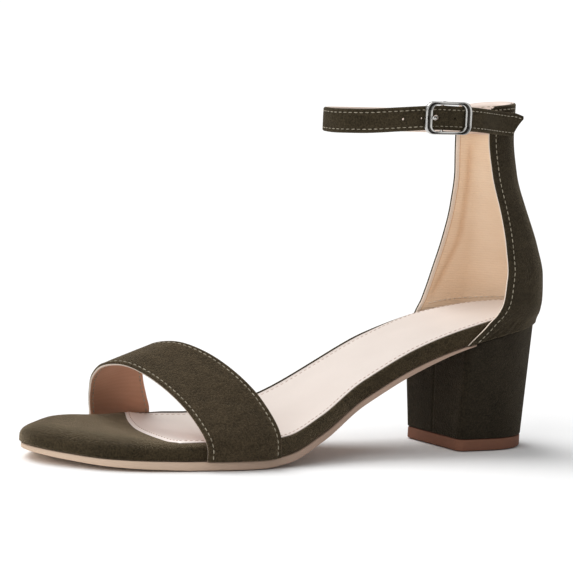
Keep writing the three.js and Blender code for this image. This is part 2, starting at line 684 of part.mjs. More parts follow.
function roundedRectangle(path, width, height, radius) {
  const [x, y] = [width / 2, height / 2];
  path.moveTo(-x + radius, -y);
  path.lineTo(x - radius, -y);
  path.absarc(x - radius, -y + radius, radius, -Math.PI / 2, 0);
  path.lineTo(x, y - radius);
  path.absarc(x - radius, y - radius, radius, 0, Math.PI / 2);
  path.lineTo(-x + radius, y);
  path.absarc(-x + radius, y - radius, radius, Math.PI / 2, Math.PI);
  path.lineTo(-x, -y + radius);
  path.absarc(-x + radius, -y + radius, radius, Math.PI, 1.5 * Math.PI);
}

const frameLevel = STRAP_T / 2 + GAP;

function buckleFrame() {
  const shape = new THREE.Shape();
  const bevel = 0.5;
  roundedRectangle(shape, FRAME_LENGTH - 2 * bevel, FRAME_HEIGHT - 2 * bevel, FRAME_CORNER - bevel);
  const opening = new THREE.Path();
  const rail = (FRAME_HEIGHT - STRAP_W) / 2 - GAP;
  const openWidth = FRAME_LENGTH - 2 * FRAME_BAR;
  roundedRectangle(opening, openWidth + 2 * bevel, FRAME_HEIGHT - 2 * rail + 2 * bevel, FRAME_CORNER - rail + bevel);
  shape.holes.push(opening);
  const ring = new THREE.ExtrudeGeometry(shape, {
    depth: FRAME_T - 2 * bevel, bevelThickness: bevel, bevelSize: bevel, bevelSegments: 2, curveSegments: 6,
  });
  ring.rotateX(Math.PI / 2).translate(0, -frameLevel - bevel, 0);
  let frame = toSolid(ring);
  const bar = new THREE.CylinderGeometry(barRadius, barRadius, FRAME_HEIGHT - rail, 12).rotateX(Math.PI / 2);
  frame = frame.add(toSolid(bar.translate(0, barDepth, 0)));
  const lugDepth = barDepth + barRadius + frameLevel + FRAME_T / 2;
  for (const side of [-1, 1]) {
    const lug = new THREE.BoxGeometry(BAR_D * 1.4, lugDepth, rail);
    lug.translate(0, barDepth + barRadius - lugDepth / 2, (side * (FRAME_HEIGHT - rail)) / 2);
    frame = frame.add(toSolid(lug));
  }
  return fromSolid(frame);
}

// The prong turns on the middle bar, rises through the strap and rests on the front bar
function buckleProng() {
  const over = -frameLevel - FRAME_T - GAP - PRONG_D / 2;
  const start = barRadius + GAP;
  const route = [
    [-start, barDepth - start], [-2.8, 2], [-4, 1.5], [-4.9, 0.4], [-5.7, -1.2],
    [-6.7, over + 0.8], [-7.7, over], [-8.8, over],
  ].map(([x, y]) => new THREE.Vector3(x, y, 0));
  const section = new THREE.Shape();
  section.absarc(0, 0, PRONG_D / 2, 0, 2 * Math.PI);
  const curve = new THREE.CatmullRomCurve3(route, false, 'centripetal');
  const shaft = new THREE.ExtrudeGeometry(section, { steps: 22, extrudePath: curve, curveSegments: 5 });
  const ringShape = new THREE.Shape();
  ringShape.absarc(0, 0, loopRadius, 0, 2 * Math.PI);
  const hole = new THREE.Path();
  hole.absarc(0, 0, start, 0, 2 * Math.PI);
  ringShape.holes.push(hole);
  const ring = new THREE.ExtrudeGeometry(ringShape, { depth: PRONG_D, bevelEnabled: false, curveSegments: 10 });
  ring.translate(0, barDepth, -PRONG_D / 2);
  return fromSolid(toSolid(shaft).add(toSolid(ring)));
}

// Assembly

function piece(name, geometry, finish) {
  const mesh = new THREE.Mesh(geometry, new THREE.MeshStandardMaterial(FINISH[finish]));
  mesh.name = name;
  return mesh;
}

const group = new THREE.Group();
group.add(
  piece('outsole', outsole(), 'outsole'),
  piece('platform', platformSolid(0), 'suede'),
  piece('sock', sock(), 'sock'),
  piece('heel', heel(), 'suede'),
  piece('heel_tip', heelTip(), 'tip'),
  piece('toe_strap', toeStrap(), 'suede'),
  piece('counter', counter(), 'suede'),
  piece('ankle_strap', ankleStrap(), 'suede'),
);

const buckle = new THREE.Group();
buckle.position.copy(BUCKLE_AT);
buckle.add(piece('buckle_frame', buckleFrame(), 'metal'), piece('buckle_prong', buckleProng(), 'metal'));
group.add(buckle);

export default group;
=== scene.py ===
"""Block heel sandal, left shoe: suede, linings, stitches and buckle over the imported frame."""
from __future__ import annotations

import logging
import math
from dataclasses import dataclass
from enum import Enum
from typing import Callable, Iterable, NamedTuple, Optional, Sequence, Union

import bpy
import numpy as np
from mathutils import Matrix, Vector


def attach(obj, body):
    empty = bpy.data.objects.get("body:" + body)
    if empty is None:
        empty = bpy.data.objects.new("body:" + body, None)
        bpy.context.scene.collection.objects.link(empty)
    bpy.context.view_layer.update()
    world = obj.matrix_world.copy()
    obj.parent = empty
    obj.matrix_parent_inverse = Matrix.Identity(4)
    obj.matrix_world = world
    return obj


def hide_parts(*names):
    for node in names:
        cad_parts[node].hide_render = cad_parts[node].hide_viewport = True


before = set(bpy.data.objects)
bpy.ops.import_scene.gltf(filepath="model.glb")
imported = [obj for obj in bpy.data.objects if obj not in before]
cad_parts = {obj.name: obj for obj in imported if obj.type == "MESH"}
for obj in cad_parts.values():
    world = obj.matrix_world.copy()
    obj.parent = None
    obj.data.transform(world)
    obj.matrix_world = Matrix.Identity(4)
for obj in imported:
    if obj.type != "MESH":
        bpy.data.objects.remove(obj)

LOG = logging.getLogger("sandal")
MM = 0.001
ROOT = "root"
FAR = 9.0
HEADING_REACH = 1.2
Color = tuple[float, float, float]
Number = Union[float, np.ndarray]


def smoothstep(value: Number, low: float, high: float) -> np.ndarray:
    """Soft step from 0 at low to 1 at high."""
    share = np.clip((np.asarray(value, float) - low) / (high - low), 0.0, 1.0)
    return share * share * (3.0 - 2.0 * share)


def bell(value: Number, middle: Number, width: float) -> np.ndarray:
    """Soft bump of height 1 around middle, about width wide on each side."""
    return np.exp(-(((np.asarray(value, float) - middle) / width) ** 2))


def unit(vectors: np.ndarray) -> np.ndarray:
    """Vectors brought to length 1."""
    return vectors / np.maximum(np.linalg.norm(vectors, axis=-1, keepdims=True), 1e-12)


class Column:
    """A table's column read as a smooth curve that never overshoots its rows."""

    def __init__(self, at: Sequence[float], values: Sequence[float]) -> None:
        """Works out the slope at each row.

        Args:
            at: Rising places of the rows.
            values: The column's value in each row.
        """
        self.at = np.asarray(at, float)
        self.values = np.asarray(values, float)
        step = np.diff(self.at)
        slope = np.diff(self.values) / step
        self.tangent = np.zeros(len(self.at))
        self.tangent[0], self.tangent[-1] = slope[0], slope[-1]
        for i in range(1, len(step)):
            before, after = slope[i - 1], slope[i]
            if before * after > 0:
                left, right = step[i - 1], step[i]
                weight = (2 * right + left) / before + (right + 2 * left) / after
                self.tangent[i] = 3 * (left + right) / weight

    def __call__(self, at: Number) -> np.ndarray:
        """Reads the curve, carried on straight past its ends.

        Args:
            at: One place or an array of places.

        Returns:
            The curve's value at each place.
        """
        at = np.asarray(at, float)
        i = np.clip(np.searchsorted(self.at, at, side="right") - 1, 0, len(self.at) - 2)
        step = self.at[i + 1] - self.at[i]
        s = (at - self.at[i]) / step
        bend = self.tangent[i] * (s**3 - 2 * s**2 + s) + self.tangent[i + 1] * (s**3 - s**2)
        rows = self.values[i] * (2 * s**3 - 3 * s**2 + 1) + self.values[i + 1] * (3 * s**2 - 2 * s**3)
        low = self.values[0] + self.tangent[0] * (at - self.at[0])
        high = self.values[-1] + self.tangent[-1] * (at - self.at[-1])
        return np.where(at <= self.at[0], low, np.where(at >= self.at[-1], high, rows + step * bend))


class Route:
    """A smooth space curve through points, read by its share of the length."""

    def __init__(self, points: Sequence[Sequence[float]]) -> None:
        """Measures the curve.

        Args:
            points: Points that it runs through, in millimetres.
        """
        self.dense = self.curve(np.asarray(points, float))
        steps = np.linalg.norm(np.diff(self.dense, axis=0), axis=1)
        self.run = np.concatenate([[0.0], np.cumsum(steps)])
        self.length = float(self.run[-1])

    @staticmethod
    def curve(points: np.ndarray, steps: int = 60) -> np.ndarray:
        """Centripetal curve through the points.

        Args:
            points: The points, one to a row.
            steps: Samples between two points.

        Returns:
            The sampled curve.
        """
        ends = np.vstack([2 * points[0] - points[1], points, 2 * points[-1] - points[-2]])
        pieces = []
        for i in range(1, len(ends) - 2):
            p = ends[i - 1 : i + 3]
            t = np.concatenate([[0.0], np.cumsum(np.sqrt(np.linalg.norm(np.diff(p, axis=0), axis=1)))])
            s = np.linspace(t[1], t[2], steps, endpoint=False)[:, None]
            for level in (1, 2):
                last = [
                    (t[k + level] - s) / (t[k + level] - t[k]) * p[k]
                    + (s - t[k]) / (t[k + level] - t[k]) * p[k + 1]
                    for k in range(4 - level)
                ]
                p = last
            pieces.append((t[2] - s) / (t[2] - t[1]) * p[0] + (s - t[1]) / (t[2] - t[1]) * p[1])
        pieces.append(points[-1:])
        return np.vstack(pieces)

    def at(self, share: Number) -> np.ndarray:
        """Points at shares of the length."""
        place = np.asarray(share, float) * self.length
        return np.stack([np.interp(place, self.run, self.dense[:, k]) for k in range(3)], -1)

    def heading(self, share: Number) -> np.ndarray:
        """Unit directions at shares of the length, measured over a short reach."""
        share, reach = np.asarray(share, float), HEADING_REACH / self.length
        return unit(self.at(np.clip(share + reach, 0, 1)) - self.at(np.clip(share - reach, 0, 1)))


# Shaders


class Signal:
    """A node's output that can stand in sums."""

    def __init__(self, tree: "ShaderTree", output: bpy.types.NodeSocket) -> None:
        """Keeps the output and the tree that it belongs to."""
        self.tree, self.output = tree, output

    def __add__(self, other: "Term") -> "Signal":
        """Sum of two terms."""
        return self.tree.math("ADD", self, other)

    def __sub__(self, other: "Term") -> "Signal":
        """Difference of two terms."""
        return self.tree.math("SUBTRACT", self, other)

    def __rsub__(self, other: "Term") -> "Signal":
        """Difference with the plain number first."""
        return self.tree.math("SUBTRACT", other, self)

    def __mul__(self, other: "Term") -> "Signal":
        """Product of two terms."""
        return self.tree.math("MULTIPLY", self, other)

    __radd__, __rmul__ = __add__, __mul__

    def step(self, low: float, high: float) -> "Signal":
        """Soft step of the signal.

        Args:
            low: Where it leaves 0.
            high: Where it reaches 1.

        Returns:
            The step's value.
        """
        settings = {"interpolation_type": "SMOOTHSTEP", "clamp": True}
        node = self.tree.node("ShaderNodeMapRange", settings, {"Value": self, "From Min": low, "From Max": high})
        return Signal(self.tree, node.outputs["Result"])


Term = Union[Signal, float]


class NodeBuilder:
    """Adds nodes to a tree and wires their inputs."""

    def __init__(self, tree: bpy.types.NodeTree) -> None:
        """Keeps the tree and counts its nodes."""
        self.tree, self.count = tree, 0

    def node(self, kind: str, settings: Optional[dict] = None, inputs: Optional[dict] = None) -> bpy.types.Node:
        """Adds one node.

        Args:
            kind: The node's type.
            settings: Its properties by name.
            inputs: Its inputs by name or number: a signal, an output or a constant.

        Returns:
            The node.
        """
        made = self.tree.nodes.new(kind)
        made.location = (220 * (self.count % 8), -260 * (self.count // 8))
        self.count += 1
        for key, value in (settings or {}).items():
            setattr(made, key, value)
        for key, value in (inputs or {}).items():
            self.put(made.inputs[key], value)
        return made

    def put(self, socket: bpy.types.NodeSocket, value: object) -> None:
        """Links a signal or an output to a socket, or sets a constant on it.

        Args:
            socket: The input.
            value: A signal, an output, a number or a colour.
        """
        if isinstance(value, Signal):
            self.tree.links.new(value.output, socket)
        elif isinstance(value, bpy.types.NodeSocket):
            self.tree.links.new(value, socket)
        elif isinstance(value, tuple) and socket.type == "RGBA":
            socket.default_value = (*value, 1.0)
        else:
            socket.default_value = value


class ShaderTree(NodeBuilder):
    """A material's nodes, ending in one Principled shader."""

    def __init__(self, name: str) -> None:
        """Makes an empty material.

        Args:
            name: The material's name.
        """
        self.material = bpy.data.materials.new(name)
        self.material.use_nodes = True
        super().__init__(self.material.node_tree)
        self.tree.nodes.clear()

    def math(self, operation: str, first: Term, second: Term) -> Signal:
        """One sum of two terms."""
        return Signal(self, self.node("ShaderNodeMath", {"operation": operation}, {0: first, 1: second}).outputs[0])

    def place(self, stretch: Sequence[float] = (1, 1, 1)) -> Signal:
        """Place on the piece in metres.

        Args:
            stretch: Factor along each axis.

        Returns:
            The stretched place.
        """
        coordinates = self.node("ShaderNodeTexCoord").outputs["Object"]
        node = self.node("ShaderNodeMapping", {}, {"Vector": coordinates, "Scale": tuple(stretch)})
        return Signal(self, node.outputs["Vector"])

    def height(self) -> Signal:
        """Height on the piece in metres."""
        coordinates = self.node("ShaderNodeTexCoord").outputs["Object"]
        return Signal(self, self.node("ShaderNodeSeparateXYZ", {}, {0: coordinates}).outputs["Z"])

    def attribute(self, name: str) -> Signal:
        """A number that the mesh carries at each point."""
        return Signal(self, self.node("ShaderNodeAttribute", {"attribute_name": name}).outputs["Fac"])

    def noise(self, place: Signal, per_metre: float, detail: float = 2.0, rough: float = 0.5) -> Signal:
        """Cloudy noise with so many cells to the metre, from 0 to 1."""
        inputs = {"Vector": place, "Scale": per_metre, "Detail": detail, "Roughness": rough}
        return Signal(self, self.node("ShaderNodeTexNoise", {}, inputs).outputs["Fac"])

    def ribs(self, place: Signal, per_metre: float, direction: str, bend: float) -> Signal:
        """Straight ribs, from 0 to 1.

        Args:
            place: Where they are read.
            per_metre: Ribs to the metre.
            direction: Axis that they cross.
            bend: How unevenly they run.

        Returns:
            The ribs' height.
        """
        settings = {"wave_type": "BANDS", "bands_direction": direction}
        inputs = {"Vector": place, "Scale": per_metre * math.pi / 10, "Distortion": bend, "Detail": 1.0}
        return Signal(self, self.node("ShaderNodeTexWave", settings, inputs).outputs["Fac"])

    def blend(self, first: Union[Color, Signal], second: Union[Color, Signal], share: Term) -> Signal:
        """Colour between two colours."""
        node = self.node("ShaderNodeMix", {"data_type": "RGBA"}, {0: share, 6: first, 7: second})
        return Signal(self, node.outputs[2])

    def bump(self, height: Signal, depth: float) -> Signal:
        """Normal of a relief so many metres deep."""
        node = self.node("ShaderNodeBump", {}, {"Height": height, "Distance": depth, "Strength": 1.0})
        return Signal(self, node.outputs["Normal"])

    def close(self, **inputs: Union[Term, Color]) -> bpy.types.Material:
        """Ends the tree in a Principled shader.

        Args:
            **inputs: The shader's inputs, with _ for a space in the name.

        Returns:
            The finished material.
        """
        shader = self.node("ShaderNodeBsdfPrincipled")
        for key, value in inputs.items():
            self.put(shader.inputs[key.replace("_", " ")], value)
        self.node("ShaderNodeOutputMaterial", {}, {"Surface": shader.outputs["BSDF"]})
        return self.material


@dataclass(frozen=True)
class SuedeFinish:
    """Short brushed nap, lighter where it lies over and where the light grazes it."""

    name: str
    dark: Color = (0.012, 0.0092, 0.0055)
    light: Color = (0.032, 0.0253, 0.0155)
    sheen: float = 0.55
    clump_per_metre: float = 1450.0

    def build(self) -> bpy.types.Material:
        """Blotches and streaks of turned nap over fine fibres.

        Returns:
            The finished material.
        """
        tree = ShaderTree(self.name)
        place = tree.place()
        cloud = tree.noise(place, 60.0, 3.0, 0.55)
        streak = tree.noise(tree.place((1.0, 0.55, 2.2)), 190.0, 3.0, 0.6)
        clump = tree.noise(place, self.clump_per_metre, 2.0, 0.6)
        fibre = tree.noise(place, self.clump_per_metre * 2.4, 2.0, 0.6)
        turned = cloud.step(0.36, 0.64) * 0.16 + streak.step(0.32, 0.68) * 0.2 + clump.step(0.3, 0.7) * 0.64
        rubbed = 1.0 - tree.attribute("edge").step(0.0, 0.7)
        return tree.close(
            Base_Color=tree.blend(self.dark, self.light, turned + rubbed * 0.2),
            Roughness=0.95 - 0.1 * clump,
            Normal=tree.bump(clump * 0.7 + fibre * 0.5 + streak * 0.6, 0.0006),
            Specular_IOR_Level=0.12,
            Sheen_Weight=self.sheen,
            Sheen_Roughness=0.32,
            Sheen_Tint=(1.0, 0.8, 0.54),
        )


@dataclass(frozen=True)
class LiningFinish:
    """Smooth lining with a fine rib and a pale bound edge; its third colour is painted shade in folds, towards the foot
    and as a thin line inside the binding, and on the sock painted light at the toe.
    """

    name: str
    light: Color
    dark: Color
    # Painted shade colour, lighter on the sock where it is painted light; the tone attribute, the foot band and the
    # binding line lay it on.
    fold: Color
    ribs_per_metre: float = 1050.0
    rib_depth: float = 0.00006
    direction: str = "Z"
    binding: float = 0.0
    bound: Color = (0.78, 0.66, 0.56)
    pocket_from: float = 1.0
    pocket: Color = (0.74, 0.6, 0.53)
    pocket_soft: float = 0.0002
    # Painted shade towards the lining's foot: from and to these heights in metres, and how much.
    warm_from: float = 0.055
    warm_to: float = 0.12
    warmth: float = 0.24

    def build(self) -> bpy.types.Material:
        """Fine ribs and pores over a faint cloud.

        Returns:
            The finished material.
        """
        tree = ShaderTree(self.name)
        place = tree.place()
        cloud = tree.noise(place, 42.0, 3.0, 0.5)
        pore = tree.noise(place, 1500.0, 2.0, 0.55)
        rib = tree.ribs(place, self.ribs_per_metre, self.direction, 0.8)
        tone = cloud.step(0.3, 0.7) * 0.55 + pore * 0.3 + rib * 0.15
        color = tree.blend(self.dark, self.light, tone)
        if self.pocket_from < 1.0:
            above = tree.height().step(self.pocket_from - self.pocket_soft, self.pocket_from + self.pocket_soft)
            # Painted shade: darker towards the lining's foot.
            low = 1.0 - tree.height().step(self.warm_from, self.warm_to)
            color = tree.blend(color, self.fold, low * self.warmth)
            color = tree.blend(color, self.pocket, above)
        # Painted shade in folds and creases, and painted light on the sock's toe, by the tone attribute.
        color = tree.blend(color, self.fold, tree.attribute("tone"))
        if self.binding > 0.0:
            edge = tree.attribute("edge")
            start = edge.step(self.binding, self.binding + 0.12)
            # Thin painted shadow line just inside the bound edge.
            seam = start * (1.0 - edge.step(self.binding + 0.3, self.binding + 0.45))
            color = tree.blend(color, self.bound, 1.0 - edge.step(self.binding - 0.05, self.binding + 0.05))
            color = tree.blend(color, self.fold, seam * 0.75)
        return tree.close(
            Base_Color=color,
            Roughness=0.6 + 0.1 * pore,
            Normal=tree.bump(rib * 0.6 + pore * 0.6, self.rib_depth),
            Specular_IOR_Level=0.3,
        )


@dataclass(frozen=True)
class SoleFinish:
    """Moulded sole and heel tip, with faint grain and scuffs."""

    name: str
    light: Color
    dark: Color
    roughness: float = 0.62
    grain_per_metre: float = 700.0
    far: Color = (0.4, 0.275, 0.21)

    def build(self) -> bpy.types.Material:
        """Grain drawn out along the edge, with soft scuffs.

        Returns:
            The finished material.
        """
        tree = ShaderTree(self.name)
        grain = tree.noise(tree.place((0.35, 0.35, 2.4)), self.grain_per_metre, 3.0, 0.6)
        scuff = tree.noise(tree.place(), 60.0, 4.0, 0.6)
        return tree.close(
            Base_Color=tree.blend(
                tree.blend(self.dark, self.light, grain * 0.6 + scuff.step(0.3, 0.7) * 0.4),
                self.far,
                tree.attribute("tone"),
            ),
            Roughness=self.roughness + 0.14 * scuff,
            Normal=tree.bump(grain, 0.00008),
            Specular_IOR_Level=0.4,
        )


@dataclass(frozen=True)
class MetalFinish:
    """Polished plated metal, with a painted dark reflection in the hollow between its rims."""

    name: str
    tone: Color = (0.6, 0.59, 0.57)
    # Painted dark reflection laid in the hollow of the bars.
    hollow: Color = (0.04, 0.037, 0.032)
    roughness: float = 0.14

    def build(self) -> bpy.types.Material:
        """Polishing marks in the gloss, a slightly uneven plating and a painted dark reflection in the hollow.

        Returns:
            The finished material.
        """
        tree = ShaderTree(self.name)
        marks = tree.noise(tree.place((1.0, 1.0, 0.2)), 2400.0, 2.0, 0.6)
        cloud = tree.noise(tree.place(), 240.0, 2.0, 0.5)
        worn = tuple(0.8 * value for value in self.tone)
        plating = tree.blend(worn, self.tone, cloud.step(0.25, 0.6))
        return tree.close(
            # The tone attribute lays the painted dark reflection into the hollow.
            Base_Color=tree.blend(plating, self.hollow, tree.attribute("tone").step(0.1, 0.6)),
            Metallic=1.0,
            Roughness=self.roughness + 0.12 * marks,
            Normal=tree.bump(marks, 0.00001),
        )


@dataclass(frozen=True)
class ThreadFinish:
    """Twisted thread."""

    name: str
    light: Color
    dark: Color

    def build(self) -> bpy.types.Material:
        """Fine twist over an uneven tone.

        Returns:
            The finished material.
        """
        tree = ShaderTree(self.name)
        twist = tree.noise(tree.place(), 3800.0, 2.0, 0.6)
        tone = tree.noise(tree.place(), 420.0, 1.0, 0.5)
        return tree.close(
            Base_Color=tree.blend(self.dark, self.light, twist * 0.4 + tone.step(0.3, 0.7) * 0.6),
            Roughness=0.75,
            Normal=tree.bump(twist, 0.00008),
            Sheen_Weight=0.2,
        )


@dataclass(frozen=True)
class FloorFinish:
    """Plain pale studio floor."""

    name: str = "studio floor"
    tone: Color = (0.95, 0.95, 0.95)

    def build(self) -> bpy.types.Material:
        """Even matt paint with a barely seen mottle.

        Returns:
            The finished material.
        """
        tree = ShaderTree(self.name)
        mottle = tree.noise(tree.place(), 3.0, 2.0, 0.5)
        near = tuple(0.99 * value for value in self.tone)
        return tree.close(Base_Color=tree.blend(near, self.tone, mottle), Roughness=0.9, Specular_IOR_Level=0.1)


class Finish(Enum):
    """The finishes that the pieces are dressed in; some are lighter or darker copies, painted light and shade."""

    SUEDE = SuedeFinish("brushed suede", (0.014, 0.0103, 0.0056), (0.05, 0.038, 0.0215), 0.25)
    # Lighter copy of the suede with little sheen: painted light on the ankle strap.
    SUEDE_ANKLE = SuedeFinish("brushed ankle suede", (0.02, 0.015, 0.008), (0.072, 0.055, 0.031), 0.06)
    # Lighter copy of the suede: painted light on the toe strap's lit front.
    SUEDE_STRAP = SuedeFinish("brushed strap suede", (0.02, 0.0145, 0.0075), (0.085, 0.0615, 0.035), 0.4)
    # Lighter copy of the suede: painted highlight on the platform's toe top.
    SUEDE_PAD = SuedeFinish("brushed platform suede", (0.016, 0.0114, 0.0056), (0.068, 0.0495, 0.0262), 0.6)
    # Darker copy of the suede: painted shade on the heel under the arch.
    SUEDE_HEEL = SuedeFinish("brushed heel suede", (0.012, 0.009, 0.0052), (0.034, 0.0265, 0.0165), 0.15)
    # The third, lighter colour is painted light on the sock's toe, where the toe strap shades it.
    SOCK = LiningFinish(
        "sock lining", (0.69, 0.615, 0.565), (0.65, 0.575, 0.525), (0.96, 0.88, 0.83), 700.0, 0.00002, "Y"
    )
    # The third colour is painted shade: along the medial fold, towards the foot and as a thin shadow line inside the
    # bound edge.
    COUNTER_LINING = LiningFinish(
        "counter lining", (0.9, 0.73, 0.56), (0.82, 0.62, 0.44), (0.6, 0.34, 0.17), 1000.0, 0.00008, "Z", 1.0,
        pocket_from=0.1292,
    )
    STRAP_LINING = LiningFinish("strap lining", (0.8, 0.68, 0.61), (0.72, 0.6, 0.53), (0.5, 0.36, 0.28))
    # Darker and redder than the ankle strap's lining, partly as painted shade under the strap; the third colour is
    # painted shade in the creases.
    TOE_LINING = LiningFinish(
        "toe strap lining", (0.7, 0.39, 0.26), (0.54, 0.28, 0.18), (0.25, 0.11, 0.07), 700.0, 0.00002, "Y"
    )
    CUT_EDGE = LiningFinish("pale cut edge", (0.8, 0.68, 0.58), (0.7, 0.58, 0.48), (0.5, 0.36, 0.28))
    OUTSOLE = SoleFinish("outsole edge", (0.74, 0.56, 0.42), (0.62, 0.46, 0.34))
    TIP = SoleFinish("heel tip rubber", (0.24, 0.1, 0.058), (0.17, 0.074, 0.043), 0.75, 900.0)
    # Its hollow colour is a painted dark reflection.
    METAL = MetalFinish("buckle metal")
    THREAD = ThreadFinish("olive thread", (0.5, 0.44, 0.33), (0.2, 0.17, 0.12))
    THREAD_PINK = ThreadFinish("pink brown thread", (0.5, 0.36, 0.28), (0.36, 0.24, 0.18))
    THREAD_PALE = ThreadFinish("pale thread", (0.85, 0.76, 0.66), (0.7, 0.58, 0.46))
    FLOOR = FloorFinish()

    def material(self) -> bpy.types.Material:
        """The finish's material, made once."""
        return bpy.data.materials.get(self.value.name) or self.value.build()


# Meshes


def placed(name: str, data: bpy.types.ID) -> bpy.types.Object:
    """Puts a mesh, a lamp or a lens in the scene.

    Args:
        name: The object's name.
        data: What the object holds.

    Returns:
        The object.
    """
    made = bpy.data.objects.new(name, data)
    bpy.context.scene.collection.objects.link(made)
    return made


def apply_modifiers(piece: bpy.types.Object) -> None:
    """Gives a piece its evaluated mesh and removes its modifiers.

    Args:
        piece: The piece.
    """
    bpy.context.view_layer.update()
    graph = bpy.context.evaluated_depsgraph_get()
    plain = bpy.data.meshes.new_from_object(piece.evaluated_get(graph))
    piece.modifiers.clear()
    piece.data = plain


@dataclass
class Skin:
    """A closed mesh while it is being built, in millimetres."""

    points: np.ndarray
    faces: list[tuple[int, ...]]
    slots: Optional[np.ndarray] = None
    edge: Optional[np.ndarray] = None
    # Per point share of a finish's third colour: painted shade on the linings, painted light on the sock, painted dark
    # reflection on the metal and the rear colour of the outsole.
    tone: Optional[np.ndarray] = None

    def to_object(self, name: str, *finishes: Finish) -> bpy.types.Object:
        """Makes the Blender object.

        Args:
            name: The piece's name.
            *finishes: Its finishes, in the order of its slots.

        Returns:
            The object, smooth shaded, with its materials.
        """
        mesh = bpy.data.meshes.new(name)
        mesh.from_pydata((self.points * MM).tolist(), [], [tuple(map(int, face)) for face in self.faces])
        mesh.update()
        for finish in finishes:
            mesh.materials.append(finish.material())
        if self.slots is not None:
            mesh.polygons.foreach_set("material_index", np.asarray(self.slots, np.int32))
        for key, values, usual in (("edge", self.edge, FAR), ("tone", self.tone, 0.0)):
            shown = np.full(len(self.points), usual) if values is None else values
            mesh.attributes.new(key, "FLOAT", "POINT").data.foreach_set("value", shown.astype(np.float32).ravel())
        mesh.polygons.foreach_set("use_smooth", [True] * len(mesh.polygons))
        mesh.validate()
        self.face_out(mesh)
        return placed(name, mesh)

    @staticmethod
    def face_out(mesh: bpy.types.Mesh) -> None:
        """Turns the faces out if the closed mesh is inside out.

        Args:
            mesh: The mesh to turn.
        """
        mesh.calc_loop_triangles()
        corners = np.empty(len(mesh.loop_triangles) * 3, np.int32)
        mesh.loop_triangles.foreach_get("vertices", corners)
        places = np.empty(len(mesh.vertices) * 3)
        mesh.vertices.foreach_get("co", places)
        a, b, c = (places.reshape(-1, 3)[corners.reshape(-1, 3)[:, k]] for k in range(3))
        if np.einsum("ij,ij->i", a, np.cross(b, c)).sum() < 0:
            mesh.flip_normals()


def quads(count: int, size: int, closed: bool = False) -> list[tuple[int, ...]]:
    """Faces between rings of points that are closed in themselves.

    Args:
        count: Number of rings.
        size: Points in each ring.
        closed: True where the last ring joins the first.

    Returns:
        The faces, ring by ring.
    """
    faces = []
    for r in range(count if closed else count - 1):
        low, high = r * size, ((r + 1) % count) * size
        faces += [(low + j, low + (j + 1) % size, high + (j + 1) % size, high + j) for j in range(size)]
    return faces


def loft(rings: np.ndarray, open_ring: bool = False) -> Skin:
    """Closed skin through rings of equal length, its ends closed from side to side.

    Args:
        rings: Points by ring, by place round the ring, by axis.
        open_ring: True where the ring's two halves have no shared end points.

    Returns:
        The closed skin.
    """
    count, size = rings.shape[:2]
    faces = quads(count, size)
    top = (count - 1) * size
    for j in range(size // 2):
        far = (size - 1 - j, size - 2 - j) if open_ring else ((size - j) % size, (size - j - 1) % size)
        loop = list(dict.fromkeys((j, j + 1, far[1], far[0])))
        if len(loop) > 2:
            faces.append(tuple(reversed(loop)))
            faces.append(tuple(top + v for v in loop))
    return Skin(rings.reshape(-1, 3), faces)


def topped(rings: np.ndarray, across: int, height: Callable[[np.ndarray, np.ndarray], np.ndarray]) -> Skin:
    """Closed skin through rings, whose upper end is a finely divided face.

    Args:
        rings: Points by ring, by place round the ring, by axis. The last is the upper rim.
        across: Faces from side to side on the upper end.
        height: Height of the upper face for places along X and Y.

    Returns:
        The closed skin.
    """
    skin = loft(rings)
    count, size = rings.shape[:2]
    half, side = size // 2, (count - 1) * size
    faces = skin.faces[:side] + skin.faces[side::2]
    points, made = [skin.points], len(skin.points)
    index = np.empty((half + 1, across + 1), int)
    shares = np.linspace(0, 1, across + 1)[1:-1, None]
    for j in range(half + 1):
        ends = side + j, side + (size - j) % size
        index[j, 0], index[j, -1] = ends
        if ends[0] == ends[1]:
            index[j, :] = ends[0]
            continue
        row = skin.points[ends[0]] + (skin.points[ends[1]] - skin.points[ends[0]]) * shares
        row[:, 2] = height(row[:, 0], row[:, 1])
        points.append(row)
        index[j, 1:-1] = np.arange(made, made + across - 1)
        made += across - 1
    for j in range(half):
        for k in range(across):
            loop = tuple(dict.fromkeys((index[j, k], index[j + 1, k], index[j + 1, k + 1], index[j, k + 1])))
            if len(loop) > 2:
                faces.append(loop)
    return Skin(np.vstack(points), faces)


def rounded(thickness: float, width: float, steps: int, corner_steps: int = 4) -> tuple[np.ndarray, np.ndarray]:
    """Section of a strip with round edges, starting at its first edge on the outer face.

    Args:
        thickness: The strip's thickness.
        width: Its width.
        steps: Faces across each flat face.
        corner_steps: Faces round half of each edge.

    Returns:
        Places across the width, and depths from the outer face, round the section.
    """
    radius = thickness / 2
    bend = np.linspace(0, math.pi / 2, corner_steps + 1)[:-1]
    first, drop = radius * (1 - np.cos(bend)), radius * (1 - np.sin(bend))
    outer = np.concatenate([first, np.linspace(radius, width - radius, steps + 1), (width - first)[::-1]])
    depth = np.concatenate([drop, np.zeros(steps + 1), drop[::-1]])
    return np.concatenate([outer, outer[::-1]]), np.concatenate([depth, thickness - depth[::-1]])


def section_slots(places: np.ndarray, depths: np.ndarray, thickness: float, cut: float) -> np.ndarray:
    """Finish of each face round a section: 0 outside, 1 lining, 2 the pale cut edge.

    Args:
        places: Places across the width, round the section.
        depths: Depths from the outer face, round the section.
        thickness: The strip's thickness.
        cut: How far the cut edge reaches onto the inner face.

    Returns:
        The slot of each face.
    """
    depth = (depths + np.roll(depths, -1)) / 2
    place = (places + np.roll(places, -1)) / 2
    near = np.minimum(place, places.max() - place)
    inside = depth > 0.58 * thickness
    return np.where(inside & (near < cut), 2, np.where(inside, 1, 0))


# Stitches


